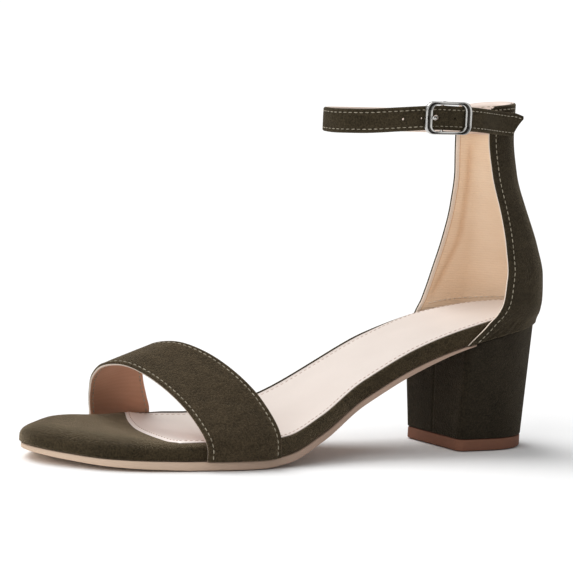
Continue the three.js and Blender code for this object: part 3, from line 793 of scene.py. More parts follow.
class StitchTree(NodeBuilder):
    """Geometry nodes that lay thread stitches along lines."""

    def __init__(self) -> None:
        """Builds the tree, with an input for each size."""
        super().__init__(bpy.data.node_groups.new("stitch rows", "GeometryNodeTree"))
        self.inputs: dict[str, str] = {}
        add = self.tree.interface.new_socket
        add(name="Geometry", in_out="OUTPUT", socket_type="NodeSocketGeometry")
        add(name="Geometry", in_out="INPUT", socket_type="NodeSocketGeometry")
        for name in ("Pitch", "Length", "Thickness", "Tilt"):
            self.inputs[name] = add(name=name, in_out="INPUT", socket_type="NodeSocketFloat").identifier
        self.inputs["Seed"] = add(name="Seed", in_out="INPUT", socket_type="NodeSocketInt").identifier
        self.inputs["Thread"] = add(name="Thread", in_out="INPUT", socket_type="NodeSocketMaterial").identifier
        self._fill()

    def _fill(self) -> None:
        """Points along the lines, a stitch on each, slightly tilted at random."""
        given = self.node("NodeGroupInput").outputs
        lines = self.node("GeometryNodeMeshToCurve", {}, {"Mesh": given["Geometry"]})
        spots = self.node(
            "GeometryNodeCurveToPoints", {"mode": "LENGTH"}, {"Curve": lines.outputs[0], "Length": given["Pitch"]}
        )
        ball = self.node("GeometryNodeMeshUVSphere", {}, {"Segments": 8, "Rings": 6, "Radius": 0.5})
        size = self.node(
            "ShaderNodeCombineXYZ", {}, {"X": given["Thickness"], "Y": given["Thickness"], "Z": given["Length"]}
        )
        stitch = self.node("GeometryNodeTransform", {}, {"Geometry": ball.outputs[0], "Scale": size.outputs[0]})
        laid = self.node(
            "GeometryNodeInstanceOnPoints",
            {},
            {"Points": spots.outputs["Points"], "Instance": stitch.outputs[0], "Rotation": spots.outputs["Rotation"]},
        )
        most = self.node("ShaderNodeCombineXYZ", {}, {"X": given["Tilt"], "Y": given["Tilt"]})
        least = self.node("ShaderNodeVectorMath", {"operation": "SCALE"}, {0: most.outputs[0], "Scale": -1.0})
        tilt = self.node("FunctionNodeRandomValue", {"data_type": "FLOAT_VECTOR"}, {"Seed": given["Seed"]})
        self.tree.links.new(least.outputs[0], tilt.inputs[0])
        self.tree.links.new(most.outputs[0], tilt.inputs[1])
        turned = self.node(
            "GeometryNodeRotateInstances", {}, {"Instances": laid.outputs[0], "Rotation": tilt.outputs[0]}
        )
        smooth = self.node("GeometryNodeSetShadeSmooth", {}, {"Geometry": turned.outputs[0]})
        real = self.node("GeometryNodeRealizeInstances", {}, {"Geometry": smooth.outputs[0]})
        dyed = self.node("GeometryNodeSetMaterial", {}, {"Geometry": real.outputs[0], "Material": given["Thread"]})
        self.node("NodeGroupOutput", {}, {"Geometry": dyed.outputs[0]})

    def sew(
        self, name: str, lines: Sequence[np.ndarray], row: "StitchRow", seed: int, thread: Finish = Finish.THREAD
    ) -> bpy.types.Object:
        """Sews stitches along lines and turns them into one plain mesh.

        Args:
            name: The piece's name.
            lines: Each line's points, in millimetres.
            row: The stitches' sizes.
            seed: Seed of the random tilt.
            thread: The thread's finish.

        Returns:
            The mesh of all the stitches.
        """
        points, edges, start = [], [], 0
        for line in lines:
            points.append(line)
            edges += [(start + i, start + i + 1) for i in range(len(line) - 1)]
            start += len(line)
        mesh = bpy.data.meshes.new(name)
        mesh.from_pydata((np.vstack(points) * MM).tolist(), edges, [])
        made = placed(name, mesh)
        sewing = made.modifiers.new("stitches", "NODES")
        sewing.node_group = self.tree
        sizes = {"Pitch": row.pitch * MM, "Length": row.length * MM, "Thickness": row.thickness * MM}
        for key, value in {**sizes, "Tilt": row.tilt, "Seed": seed, "Thread": thread.material()}.items():
            sewing[self.inputs[key]] = value
        made.update_tag()
        apply_modifiers(made)
        made.data.name = name
        return made


@dataclass(frozen=True)
class StitchRow:
    """Sizes of one kind of stitch, in millimetres."""

    pitch: float = 2.35
    length: float = 1.75
    thickness: float = 0.46
    tilt: float = 0.06


# The sole's form, which every piece follows


class SoleRow(NamedTuple):
    """One section of the sole, as shares of the named sizes."""

    at: float
    half: float
    swing: float
    rise: float
    thick: float


SOLE_ROWS = tuple(SoleRow(*row) for row in (
    (0, 0, 0.011, 1, 0.2),
    (0.03, 0.364, 0.008, 0.985, 0.2),
    (0.1, 0.592, 0, 0.928, 0.2),
    (0.2, 0.652, -0.003, 0.823, 0.3),
    (0.3, 0.618, -0.01, 0.655, 0.62),
    (0.4, 0.623, -0.018, 0.42, 0.72),
    (0.5, 0.759, -0.05, 0.16, 0.84),
    (0.58, 0.88, -0.072, 0.024, 0.96),
    (0.64, 0.962, -0.06, 0, 1),
    (0.7, 0.995, -0.018, 0, 1),
    (0.76, 1, 0.04, 0, 1),
    (0.82, 0.965, 0.072, 0.004, 0.94),
    (0.9, 0.817, 0.088, 0.015, 0.84),
    (0.96, 0.484, 0.092, 0.036, 0.76),
    (1, 0, 0.093, 0.058, 0.62),
))


@dataclass
class SoleForm:
    """Outline, rise and thickness of the sole, in millimetres."""

    length: float = 231.8
    seat_back: float = 24.0
    seat_tuck: float = 1.6
    ball_width: float = 76.4
    heel_rise: float = 49.4
    outsole_thickness: float = 3.3
    gap: float = 0.3

    def __post_init__(self) -> None:
        """Reads the table's columns."""
        at = [row.at for row in SOLE_ROWS]
        self._half = Column([self.end_angle(share) for share in at], [row.half for row in SOLE_ROWS])
        self._swing = Column(at, [row.swing for row in SOLE_ROWS])
        self._rise = Column(at, [row.rise for row in SOLE_ROWS])
        self._thick = Column(at, [row.thick for row in SOLE_ROWS])

    @staticmethod
    def end_angle(share: Number) -> np.ndarray:
        """Angle of a round end for a share of the length."""
        return np.arccos(1 - 2 * np.clip(share, 0, 1))

    def share(self, x: Number) -> np.ndarray:
        """Share of the length from the back of the seat."""
        return (self.seat_back - np.asarray(x, float)) / self.length

    def half(self, share: Number) -> np.ndarray:
        """Half width at a share of the length."""
        return self.ball_width / 2 * self._half(self.end_angle(share))

    def middle(self, share: Number) -> np.ndarray:
        """Middle line's place along Y."""
        return self.ball_width / 2 * self._swing(share)

    def seam(self, x: Number) -> np.ndarray:
        """Height of the seam between outsole and platform."""
        return self.outsole_thickness + self.gap / 2 + self.heel_rise * self._rise(self.share(x))

    def outsole_top(self, x: Number) -> np.ndarray:
        """Height of the outsole's upper face."""
        return self.seam(x) - self.gap / 2

    def outsole_underside(self, x: Number) -> np.ndarray:
        """Height of the outsole's lower face."""
        return self.outsole_top(x) - self.outsole_thickness * self._thick(self.share(x))

    def platform_underside(self, x: Number) -> np.ndarray:
        """Height of the platform's lower face."""
        return self.seam(x) + self.gap / 2

    def tuck(self, share: Number) -> np.ndarray:
        """How far the seat's outline is drawn in under the counter."""
        return self.seat_tuck * (1 - smoothstep(share, 0.04, 0.18))

    def edge(self, angle: np.ndarray, side: int, offset: np.ndarray) -> np.ndarray:
        """Points on the outline, moved outwards along its normal.

        Args:
            angle: Angles of a round end, 0 at the back and pi at the toe.
            side: -1 for the lateral side, 1 for the medial side.
            offset: Move outwards at each angle.

        Returns:
            Places along X and Y.
        """

        def spot(turn: np.ndarray) -> np.ndarray:
            """The outline itself.

            Args:
                turn: Angles of a round end.

            Returns:
                Places along X and Y.
            """
            share = (1 - np.cos(turn)) / 2
            y = self.middle(share) + side * self.half(share)
            return np.stack([self.seat_back - self.length * share, y], -1)

        along = unit(spot(np.minimum(angle + 1e-3, math.pi)) - spot(np.maximum(angle - 1e-3, 0)))
        out = np.stack([-along[:, 1], along[:, 0]], -1) * -side
        out[angle < 1e-6] = (1, 0)
        out[angle > math.pi - 1e-6] = (-1, 0)
        return spot(angle) + out * offset[:, None]

    def ring(
        self,
        offset: Callable[[np.ndarray], Number],
        height: Callable[[np.ndarray], np.ndarray],
        start: float = 0.0,
        steps: int = 110,
    ) -> np.ndarray:
        """Ring round the outline, the lateral side to the toe and the medial side back.

        Args:
            offset: Move outwards for a share of the length.
            height: Height for a place along X.
            start: Share of the length where the ring starts.
            steps: Steps on each side.

        Returns:
            The ring's points.
        """
        low = float(self.end_angle(start))
        angle = np.linspace(low, math.pi, steps + 1)
        share = (1 - np.cos(angle)) / 2
        move = offset(share) - self.tuck(share) + np.zeros_like(share)
        lateral, medial = self.edge(angle, -1, move), self.edge(angle, 1, move)
        medial = medial[: -1] if start > 0 else medial[1:-1]
        flat = np.vstack([lateral, medial[::-1]])
        return np.column_stack([flat, height(flat[:, 0])])


def own(piece: bpy.types.Object, slot: str, *nodes: str) -> bpy.types.Object:
    """Lets a piece ride on the shoe and stand for its nodes.

    Args:
        piece: The finished piece.
        slot: The record's material slot; not used.
        *nodes: The nodes that it stands for, if any.

    Returns:
        The piece.
    """
    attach(piece, ROOT)
    if nodes:
        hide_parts(*nodes)
    LOG.info("%s: %d faces", piece.name, len(piece.data.polygons))
    return piece


@dataclass
class Sole:
    """Outsole, covered platform and sock."""

    form: SoleForm
    stitches: StitchTree
    side: float = 4.4
    toe_side: float = 1.9
    full: float = 6.6
    toe_pad: float = 1.9
    inset: float = 0.8
    rim: float = 1.5
    toe_rim: float = 14.0
    toe_tuck: float = 1.6
    cup: float = 1.1
    medial_lift: float = 1.5
    sock_margin: float = 0.2
    sock_reach: float = 181.7
    sock_bow: float = 9.3
    sock_skew: float = 0.3
    sock_slant: float = 3.2
    outsole_start: float = 0.1795
    outsole_soft: float = 0.45
    rim_power: float = 2.2
    sock_row_inset: float = 1.6

    def __post_init__(self) -> None:
        """Lays the cover's outline, from which its height is measured."""
        self.outline = self.form.ring(lambda share: -self.inset, self.form.seam, steps=240)[:, :2]

    def build(self) -> None:
        """Makes the three layers."""
        self.outsole()
        self.platform()
        self.sock()

    def outsole(self) -> bpy.types.Object:
        """Thin moulded layer with softened edges, drawn in under the toe.

        Returns:
            The outsole.
        """
        form, soft = self.form, self.outsole_soft
        layers = [(soft, -1, 0.0), (0.13, -1, 0.13), (0.0, -1, soft), (0.0, 1, soft), (0.13, 1, 0.13), (soft, 1, 0.0)]

        def height(face: int, rise: float) -> Callable[[np.ndarray], np.ndarray]:
            """Height of a layer measured from the nearer face.

            Args:
                face: -1 for the lower face, 1 for the upper.
                rise: Distance from it.

            Returns:
                A function from places along X to heights.
            """

            def at(x: np.ndarray) -> np.ndarray:
                """Softening, never more than half of the thickness.

                Args:
                    x: Places along X.

                Returns:
                    The heights.
                """
                low, high = form.outsole_underside(x), form.outsole_top(x)
                move = np.minimum(rise, (high - low) * 0.42)
                return low + move if face < 0 else high - move

            return at

        def offset(inset: float) -> Callable[[np.ndarray], np.ndarray]:
            """Move outwards of a layer."""
            return lambda share: -inset - self.toe_tuck * smoothstep(share, 0.84, 0.98)

        rings = [form.ring(offset(inset), height(face, rise), self.outsole_start) for inset, face, rise in layers]
        skin = loft(np.stack(rings), open_ring=True)
        skin.tone = 0.95 * (1 - smoothstep(form.share(skin.points[:, 0]), 0.48, 0.95))
        piece = skin.to_object("outsole_edge", Finish.OUTSOLE)
        return own(piece, "outsole", "outsole")

    def depth(self, x: np.ndarray, y: np.ndarray) -> np.ndarray:
        """Distance of places from the cover's outline.

        Args:
            x: Places along X.
            y: Places along Y.

        Returns:
            The distances.
        """
        start, run = self.outline, np.roll(self.outline, -1, axis=0) - self.outline
        flat = np.stack([x, y], -1).reshape(-1, 1, 2) - start
        share = np.clip((flat * run).sum(-1) / np.maximum((run**2).sum(-1), 1e-12), 0, 1)
        return np.linalg.norm(flat - share[..., None] * run, axis=-1).min(axis=1).reshape(np.shape(x))

    def reach(self, share: np.ndarray) -> np.ndarray:
        """Width of the rim's rounding, which grows into a pad towards the toe."""
        return self.rim + (self.toe_rim - self.rim) * smoothstep(share, 0.66, 0.88)

    def cover(self, x: np.ndarray, y: np.ndarray) -> np.ndarray:
        """Height of the cover: a beaded rim, a cupped bed and a padded toe.

        Args:
            x: Places along X.
            y: Places along Y.

        Returns:
            The heights.
        """
        form, depth = self.form, self.depth(x, y)
        share = form.share(x)
        across = (y - form.middle(share)) / np.maximum(form.half(np.clip(share, 0.002, 0.998)), 1.0)
        side = self.side + (self.toe_side - self.side) * smoothstep(share, 0.7, 0.92)
        full = self.full + self.toe_pad * smoothstep(share, 0.76, 0.92)
        rise = (1 - (1 - np.clip(depth / self.reach(share), 0, 1)) ** self.rim_power) ** (1 / self.rim_power)
        far = smoothstep(across, 0.3, 0.9) * smoothstep(share, 0.2, 0.32)
        bead = (0.5 + 1.3 * far) * bell(depth, 1.1, 0.8) * (1 - smoothstep(share, 0.66, 0.8))
        cup = self.cup * smoothstep(depth, 1.5, 14.0) * (1 - smoothstep(share, 0.78, 0.86))
        toe = smoothstep(share, 0.69, 0.75) * (1 - smoothstep(share, 0.84, 0.99))
        lift = self.medial_lift * smoothstep(across, 0.1, 0.95) * toe
        return form.platform_underside(x) + side + (full - side) * rise + bead - cup + lift

    def laid(self, offset: Callable[[np.ndarray], Number]) -> np.ndarray:
        """Ring laid on the cover.

        Args:
            offset: Move outwards for a share of the length.

        Returns:
            The ring's points.
        """
        ring = self.form.ring(offset, self.form.seam)
        ring[:, 2] = self.cover(ring[:, 0], ring[:, 1])
        return ring

    def platform(self) -> bpy.types.Object:
        """Padded platform with its suede cover pulled round the edge.

        Returns:
            The platform.
        """
        form = self.form
        edge = self.laid(lambda share: -self.inset)
        full = edge[:, 2] - form.platform_underside(edge[:, 0])
        rings = []
        for inset, level in ((0.55, 0.0), (0.2, 0.03), (0.0, 0.14), (0.0, 0.4), (0.0, 0.7)):
            rings.append(form.ring(lambda share, m=inset: -self.inset - m, form.platform_underside))
            rings[-1][:, 2] += level * full
        for step in (*(np.arange(13) / 12) ** 2, 1.04, 1.1, 1.2):
            rings.append(self.laid(lambda share, s=step: -self.inset - s * self.reach(share)))
        for extra in (1.0, 2.0, 3.5, 5.5):

            def offset(share: np.ndarray, e: float = extra) -> np.ndarray:
                """Further inwards from the rim's rounding, less so towards the toe."""
                return -self.inset - 1.2 * self.reach(share) - e * (1.0 - 0.9 * smoothstep(share, 0.66, 0.88))

            rings.append(self.laid(offset))
        skin = topped(np.stack(rings), 36, self.cover)
        return own(skin.to_object("platform_cover", Finish.SUEDE_PAD), "suede", "platform")

    def sock_front(self, y: np.ndarray) -> np.ndarray:
        """The arc of the sock's front end, as a place along X."""
        arc = y / (self.form.ball_width * 0.6) + self.sock_skew
        return self.form.seat_back - self.sock_reach + self.sock_bow * arc**2

    def sock_gap(self, x: np.ndarray, y: np.ndarray) -> np.ndarray:
        """Distance inwards from the sock's edge.

        Args:
            x: Places along X.
            y: Places along Y.

        Returns:
            The distances.
        """
        lateral = y < self.form.middle(self.form.share(x))
        bare = self.rim + self.sock_margin + self.slant(self.form.share(x)) * lateral
        return np.minimum(self.depth(x, y) - bare, x - self.sock_front(y))

    def slant(self, share: np.ndarray) -> np.ndarray:
        """How much farther in the sock's lateral edge runs towards the toe."""
        return self.sock_slant * smoothstep(share, 0.62, 0.76)

    def sock_top(self, x: np.ndarray, y: np.ndarray) -> np.ndarray:
        """Height of the sock, rolled over at its edge.

        Args:
            x: Places along X.
            y: Places along Y.

        Returns:
            The heights.
        """
        gap = self.sock_gap(x, y)
        roll = np.sqrt(np.clip(1 - (1 - np.clip(gap / 0.7, 0, 1)) ** 2, 0, 1))
        return self.cover(x, y) + 0.1 + 0.45 * roll + 0.25 * smoothstep(gap, 0.0, 2.0)

    def sock(self) -> bpy.types.Object:
        """Thin sock with a rolled edge and a row of stitches inside it, lightened towards the toe as painted light.

        Returns:
            The sock.
        """
        form = self.form
        inset = self.inset + self.rim + self.sock_margin
        angle = np.linspace(0, math.pi, 500)
        move = -inset - form.tuck((1 - np.cos(angle)) / 2)
        slant = self.slant((1 - np.cos(angle)) / 2)
        sides = [form.edge(angle, side, move - slant * (side < 0)) for side in (-1, 1)]
        back = sides[0][0, 0]

        def bounds(x: np.ndarray) -> list[np.ndarray]:
            """The inset outline's two places along Y."""
            return [np.interp(x, line[::-1, 0], line[::-1, 1]) for line in sides]

        rows, columns = 150, 44
        across = np.sin(np.linspace(-math.pi / 2, math.pi / 2, columns + 1))
        front = np.full(columns + 1, back - self.sock_reach + 2 * inset)
        for _ in range(8):
            low, high = bounds(front)
            front = self.sock_front((low + high) / 2 + across * (high - low) / 2)
        first = float(form.end_angle(form.share(back))) + 1e-4
        along = np.linspace(0, 1, rows + 1)[:, None]
        turn = first + (form.end_angle(form.share(front)) - first) * along
        x = np.minimum(form.seat_back - form.length * (1 - np.cos(turn)) / 2, back)
        low, high = bounds(x)
        y = (low + high) / 2 + across * (high - low) / 2
        top = np.stack([x, y, self.sock_top(x, y)], -1).reshape(-1, 3)
        under = np.stack([x, y, self.cover(x, y) + 0.03], -1).reshape(-1, 3)
        count = len(top)
        index = np.arange(count).reshape(rows + 1, columns + 1)
        faces: list[tuple[int, ...]] = []
        for i in range(rows):
            for k in range(columns):
                loop = (index[i, k], index[i, k + 1], index[i + 1, k + 1], index[i + 1, k])
                faces += [loop, tuple(v + count for v in reversed(loop))]
        border = list(index[0, :]) + list(index[1:, -1]) + list(index[-1, -2::-1]) + list(index[-2:0:-1, 0])
        faces += [(b, a, a + count, b + count) for a, b in zip(border, border[1:] + border[:1])]
        # Painted light: the sock is lightened towards its toe, where the toe strap shades it.
        tone = np.tile(smoothstep(form.share(x), 0.66, 0.74).ravel(), 2)
        piece = Skin(np.vstack([top, under]), faces, tone=tone).to_object("sock_sheet", Finish.SOCK)
        self.sock_row()
        return own(piece, "sock", "sock")

    def sock_row(self) -> bpy.types.Object:
        """Stitches a little inside the sock's edge, all the way round.

        Returns:
            The stitches.
        """
        inset, steps = self.sock_row_inset, 300
        bare = self.inset + self.rim + self.sock_margin + inset
        near = self.form.ring(lambda share: -bare - self.slant(share), self.form.seam, steps=steps)
        ring = self.form.ring(lambda share: -bare, self.form.seam, steps=steps)
        ring[: steps + 1] = near[: steps + 1]
        ring = ring[ring[:, 0] > self.sock_front(ring[:, 1]) + inset]
        split = int(np.argmax(np.linalg.norm(np.diff(ring[:, :2], axis=0), axis=1))) + 1
        ends = ring[split % len(ring)], ring[split - 1]
        y = np.linspace(ends[1][1], ends[0][1], 120)[1:-1]
        front = np.column_stack([self.sock_front(y) + inset, y, np.zeros(len(y))])
        line = np.vstack([ring[split:], ring[:split], front, ring[split : split + 1]])
        line[:, 2] = self.sock_top(line[:, 0], line[:, 1]) + 0.02
        row = StitchRow(2.3, 1.5, 0.3)
        return own(self.stitches.sew("sock_stitches", [line], row, 5, Finish.THREAD_PINK), "sock")


@dataclass
class Heel:
    """Covered block heel and its tip."""

    form: SoleForm
    base_back: float = 20.2
    base_front: float = 20.9
    base_width: float = 39.4
    skew: float = 0.9
    corner: float = 3.0
    tip_thickness: float = 4.7
    breast_lean: float = 1.0
    counter_proud: float = 1.3
    outsole_start: float = 0.1795
    seam_depth: float = 0.35
    round_share: float = 0.58
    round_power: float = 1.95

    def build(self) -> None:
        """Makes the covered block and the tip."""
        self.block()
        self.tip()

    def _half(self, back: float, front: float, half_at: Callable[[np.ndarray], np.ndarray]) -> np.ndarray:
        """Half outline from the middle of the back to the middle of the breast.

        Args:
            back: Rearmost place along X.
            front: The breast's place along X.
            half_at: Half width for a place along X.

        Returns:
            Places along X and half widths.
        """
        share = 1 - np.cos(np.linspace(0, math.pi / 2, 41))
        side_x = back - (back - front - self.corner) * share
        side = np.column_stack([side_x, half_at(side_x)])
        edge = float(half_at(np.array([front + self.corner]))[0])
        turn = np.linspace(0, math.pi / 2, 9)[1:]
        corner = np.column_stack(
            [front + self.corner * (1 - np.sin(turn)), edge - self.corner * (1 - np.cos(turn))]
        )
        breast = np.linspace(edge - self.corner, 0, 25)[1:]
        return np.vstack([side, corner, np.column_stack([np.full(24, front), breast])])

    def base_half(self, x: np.ndarray) -> np.ndarray:
        """Half width of the heel's foot: straight sides in front, a round back.

        Args:
            x: Places along X.

        Returns:
            The half widths.
        """
        straight = self.base_back - self.round_share * (self.base_back + self.base_front)
        share = np.clip((x - straight) / (self.base_back - straight), 0, 1)
        return self.base_width / 2 * (1 - share**self.round_power) ** (1 / self.round_power)

    def top_half(self, x: np.ndarray) -> np.ndarray:
        """Half width of the heel's top, flush with the counter and the sole.

        Args:
            x: Places along X.

        Returns:
            The half widths.
        """
        form = self.form
        back = form.seat_back - form.seat_tuck + self.counter_proud
        share = np.maximum(back - x, 0) / (back - form.seat_back + form.length)
        flare = self.counter_proud * (1 - smoothstep(share, 0.13, 0.19)) - form.tuck(share)
        return form.half(share) + flare * np.minimum(share / 0.03, 1)

    def outline(self, share: Number) -> np.ndarray:
        """Outline at a share of the way from the tip's top to the seat.

        Args:
            share: One share, or one for each point of the ring.

        Returns:
            Places along X and Y round the ring.
        """
        form = self.form
        back = form.seat_back - form.seat_tuck + self.counter_proud
        base = self._half(self.base_back, -self.base_front, self.base_half)
        top = self._half(back, -self.base_front - self.breast_lean, self.top_half)

        def whole(half: np.ndarray) -> np.ndarray:
            """Both sides of the ring, skewed at the breast.

            Args:
                half: Half outline from the back to the breast.

            Returns:
                The whole ring.
            """
            lateral = np.column_stack([half[:, 0], -half[:, 1]])
            medial = half[1:-1][::-1]
            ring = np.vstack([lateral, medial])
            lean = np.clip(-ring[:, 0] / self.base_front, 0, 1) * ring[:, 1] / (self.base_width / 2)
            ring[:, 0] -= self.skew * lean
            return ring

        low, high = whole(base), whole(top)
        return low + (high - low) * np.asarray(share, float).reshape(-1, 1)

    def top_height(self, x: np.ndarray) -> np.ndarray:
        """Height of the block's top, under the counter or under the outsole."""
        lap = self.form.seat_back - self.form.length * self.outsole_start + self.form.gap
        return np.where(x > lap, self.form.seam(x) - self.form.gap / 2, self.form.outsole_underside(x) - self.form.gap)

    def block(self) -> bpy.types.Object:
        """Suede cover, rolled at both ends, with a seam down the breast.

        Returns:
            The covered block.
        """
        full = float(self.form.seam(self.form.seat_back))
        foot = self.tip_thickness + self.form.gap

        def to_share(z: np.ndarray) -> np.ndarray:
            """Share of the way up for a height."""
            return (z - self.tip_thickness) / (full - self.tip_thickness)

        size = len(self.outline(0.0))
        top = np.full(size, full)
        for _ in range(12):
            top = self.top_height(self.outline(to_share(top))[:, 0])
        stations = np.concatenate([[0.0, 0.1, 0.3, 0.6], np.linspace(1.0, 99.0, 46), [99.4, 99.7, 99.9, 100.0]]) / 100
        roll = np.concatenate([[0.55, 0.25, 0.1, 0.02], np.zeros(46), [0.04, 0.14, 0.3, 0.6]])
        rings = []
        for station, inset in zip(stations, roll):
            z = foot + (top - foot) * station
            flat = self.outline(to_share(z))
            middle = flat.mean(axis=0)
            inward = unit(middle - flat)
            flat = flat + inward * inset
            breast = smoothstep(-flat[:, 0], self.base_front - 1.6, self.base_front - 0.6)
            flat[:, 0] += self.seam_depth * bell(flat[:, 1], 0.0, 0.4) * breast
            rings.append(np.column_stack([flat, z]))
        return own(loft(np.stack(rings)).to_object("heel_cover", Finish.SUEDE_HEEL), "suede", "heel")

    def tip(self) -> bpy.types.Object:
        """Moulded tip with softened edges.

        Returns:
            The tip.
        """
        layers = [(0.5, 0.0), (0.15, 0.15), (0.0, 0.5), (0.0, 2.0), (0.0, 3.4), (0.02, 4.2), (0.12, 4.55), (0.4, 4.7)]
        rings = []
        for inset, z in layers:
            flat = self.outline(0.0)
            flat = flat + unit(flat.mean(axis=0) - flat) * (inset + 0.12)
            rings.append(np.column_stack([flat, np.full(len(flat), z)]))
        return own(loft(np.stack(rings)).to_object("tip_block", Finish.TIP), "heel_tip", "heel_tip")


class StrapRow(NamedTuple):
    """One place across the toe strap, as shares of the named sizes."""

    across: float
    rise: float
    bow: float


TOE_STRAP_ROWS = tuple(StrapRow(*row) for row in (
    (-1, 0, 0),
    (-1, 0.15, 0.01),
    (-0.965, 0.26, 0.03),
    (-0.87, 0.4, 0.08),
    (-0.68, 0.6, 0.18),
    (-0.43, 0.8, 0.38),
    (-0.17, 0.94, 0.6),
    (0.06, 1, 0.85),
    (0.3, 0.945, 1),
    (0.54, 0.79, 0.86),
    (0.76, 0.57, 0.52),
    (0.92, 0.37, 0.2),
    (0.985, 0.24, 0.04),
    (1, 0.13, 0.01),
    (1, 0, 0),
))


@dataclass(frozen=True)
class StrapEdge:
    """Where one edge of the toe strap runs, measured from the back of the seat."""

    lateral: float
    medial: float
    bow: float
    rise: float


@dataclass
class ToeStrap:
    """Wide strap over the toes, lined and edge stitched."""

    form: SoleForm
    stitches: StitchTree
    thickness: float = 1.8
    platform_inset: float = 0.8
    front: StrapEdge = StrapEdge(172.0, 184.5, 13.3, 33.0)
    rear: StrapEdge = StrapEdge(139.3, 158.6, 20.0, 41.7)
    row_inset: float = 2.3
    width: float = 36.0
    stations: int = 150

    def __post_init__(self) -> None:
        """Lays the strap's section curve through its table."""
        rows = [(row.across, row.rise, row.bow) for row in TOE_STRAP_ROWS]
        self._shape = self._section(np.asarray(rows, float))

    @staticmethod
    def _section(rows: np.ndarray) -> Callable[[np.ndarray], np.ndarray]:
        """Centripetal curve read by an even share for each row.

        Args:
            rows: Across, rise and bow of each row.

        Returns:
            A function from shares to across, rise and bow.
        """
        dense = Route.curve(rows, 40)
        spots = np.linspace(0, 1, len(dense))
        return lambda share: np.stack([np.interp(share, spots, dense[:, k]) for k in range(3)], -1)

    def _between(self, name: str, along: Number) -> Number:
        """A size of the front edge that changes to the rear edge's."""
        front, rear = getattr(self.front, name), getattr(self.rear, name)
        return front + (rear - front) * along

    def outer(self, across: np.ndarray, along: Number) -> np.ndarray:
        """Points of the outer face.

        Args:
            across: Shares from the lateral to the medial foot.
            along: Shares from the front to the rear edge.

        Returns:
            The points.
        """
        row = self._shape(across)
        lateral, medial = self._between("lateral", along), self._between("medial", along)
        reach = lateral + (medial - lateral) * (row[..., 0] + 1) / 2 + row[..., 2] * self._between("bow", along)
        share = reach / self.form.length
        x = self.form.seat_back - reach
        proud = self.form.gap + self.thickness - self.platform_inset
        y = self.form.middle(share) + row[..., 0] * (self.form.half(share) + proud)
        return np.stack([x, y, self.form.platform_underside(x) + row[..., 1] * self._between("rise", along)], -1)

    def surface(self, across: np.ndarray, along: Number, depth: Number) -> np.ndarray:
        """Points at a depth under the outer face.

        Args:
            across: Shares from the lateral to the medial foot.
            along: Shares from the front to the rear edge.
            depth: Depth under the outer face, less than nothing above it.

        Returns:
            The points.
        """
        along = np.asarray(along, float) + np.zeros_like(across)
        low, high = np.clip(across - 0.004, 0, 1), np.clip(across + 0.004, 0, 1)
        sideways = self.outer(high, along) - self.outer(low, along)
        backwards = self.outer(across, np.clip(along + 0.04, 0, 1)) - self.outer(across, np.clip(along - 0.04, 0, 1))
        inwards = unit(np.cross(sideways, backwards))
        level = smoothstep(np.minimum(across, 1 - across), 0.0, 0.05)
        inwards[..., 2] *= level
        inwards = unit(inwards)
        depth = np.asarray(depth, float) + self.relief(across, along) * (1 - np.asarray(depth, float) / self.thickness)
        return self.outer(across, along) + inwards * np.asarray(depth)[..., None]

    def relief(self, across: np.ndarray, along: np.ndarray) -> np.ndarray:
        """Soft troughs, and the channels that the stitches lie in.

        Args:
            across: Shares from the lateral to the medial foot.
            along: Shares from the front to the rear edge.

        Returns:
            Depth below the plain face.
        """
        width = self.width
        channel = bell(along * width, self.row_inset, 0.5) + bell((1 - along) * width, self.row_inset, 0.5)
        dent = 0.35 * bell(across, 0.2, 0.05) * bell(along, 0.45, 0.35)
        dent = dent + 0.3 * bell(across + 0.1 * along, 0.34, 0.03) * bell(along, 0.7, 0.25)
        roll = bell(along * width, 0.0, 1.3) + bell((1 - along) * width, 0.0, 1.3)
        return 0.22 * channel + dent - 0.08 * roll

    def wrinkles(self, across: np.ndarray, along: np.ndarray) -> np.ndarray:
        """Creases of the lining above the medial foot, as a share of their depth, which also sets their painted shade.
        """
        folds = bell(across, 0.9 + 0.015 * along, 0.008) + bell(across, 0.93 - 0.01 * along, 0.007)
        return (folds + 0.8 * bell(across, 0.957, 0.006)) * bell(along, 0.45, 0.4)

    def build(self) -> None:
        """Makes the strap and its stitch rows."""
        width = self.width
        places, depths = rounded(self.thickness, width, 90)
        across = np.linspace(0, 1, self.stations + 1)
        inside = depths / self.thickness
        rings, painted_shades = [], []
        for a in across:
            place, spot = places / width, np.full(len(places), a)
            fold = self.wrinkles(spot, place) * inside
            rings.append(self.surface(spot, place, depths - 0.35 * fold))
            # Painted shade in the lining's creases.
            painted_shades.append(np.clip(fold, 0, 1) * 0.8)
        skin = loft(np.stack(rings), open_ring=True)
        side = np.tile(section_slots(places, depths, self.thickness, 0.35), self.stations)
        skin.slots = np.concatenate([side, np.zeros(len(skin.faces) - len(side), int)])
        skin.edge = np.tile(np.minimum(places, width - places), self.stations + 1)
        skin.tone = np.concatenate(painted_shades)
        band = skin.to_object("toe_strap_band", Finish.SUEDE_STRAP, Finish.TOE_LINING, Finish.CUT_EDGE)
        own(band, "suede", "toe_strap")
        line = np.linspace(0.022, 0.978, 260)
        rows = [
            self.surface(line, place, depth)
            for place in (self.row_inset / width, 1 - self.row_inset / width)
            for depth in (-0.02, self.thickness + 0.02)
        ]
        own(self.stitches.sew("toe_strap_stitches", rows, StitchRow(2.35, 1.65, 0.46), 11), "suede")


class CounterRow(NamedTuple):
    """One level of the counter, as shares of the named sizes."""

    at: float
    lean: float
    half: float
    lateral: float
    medial: float


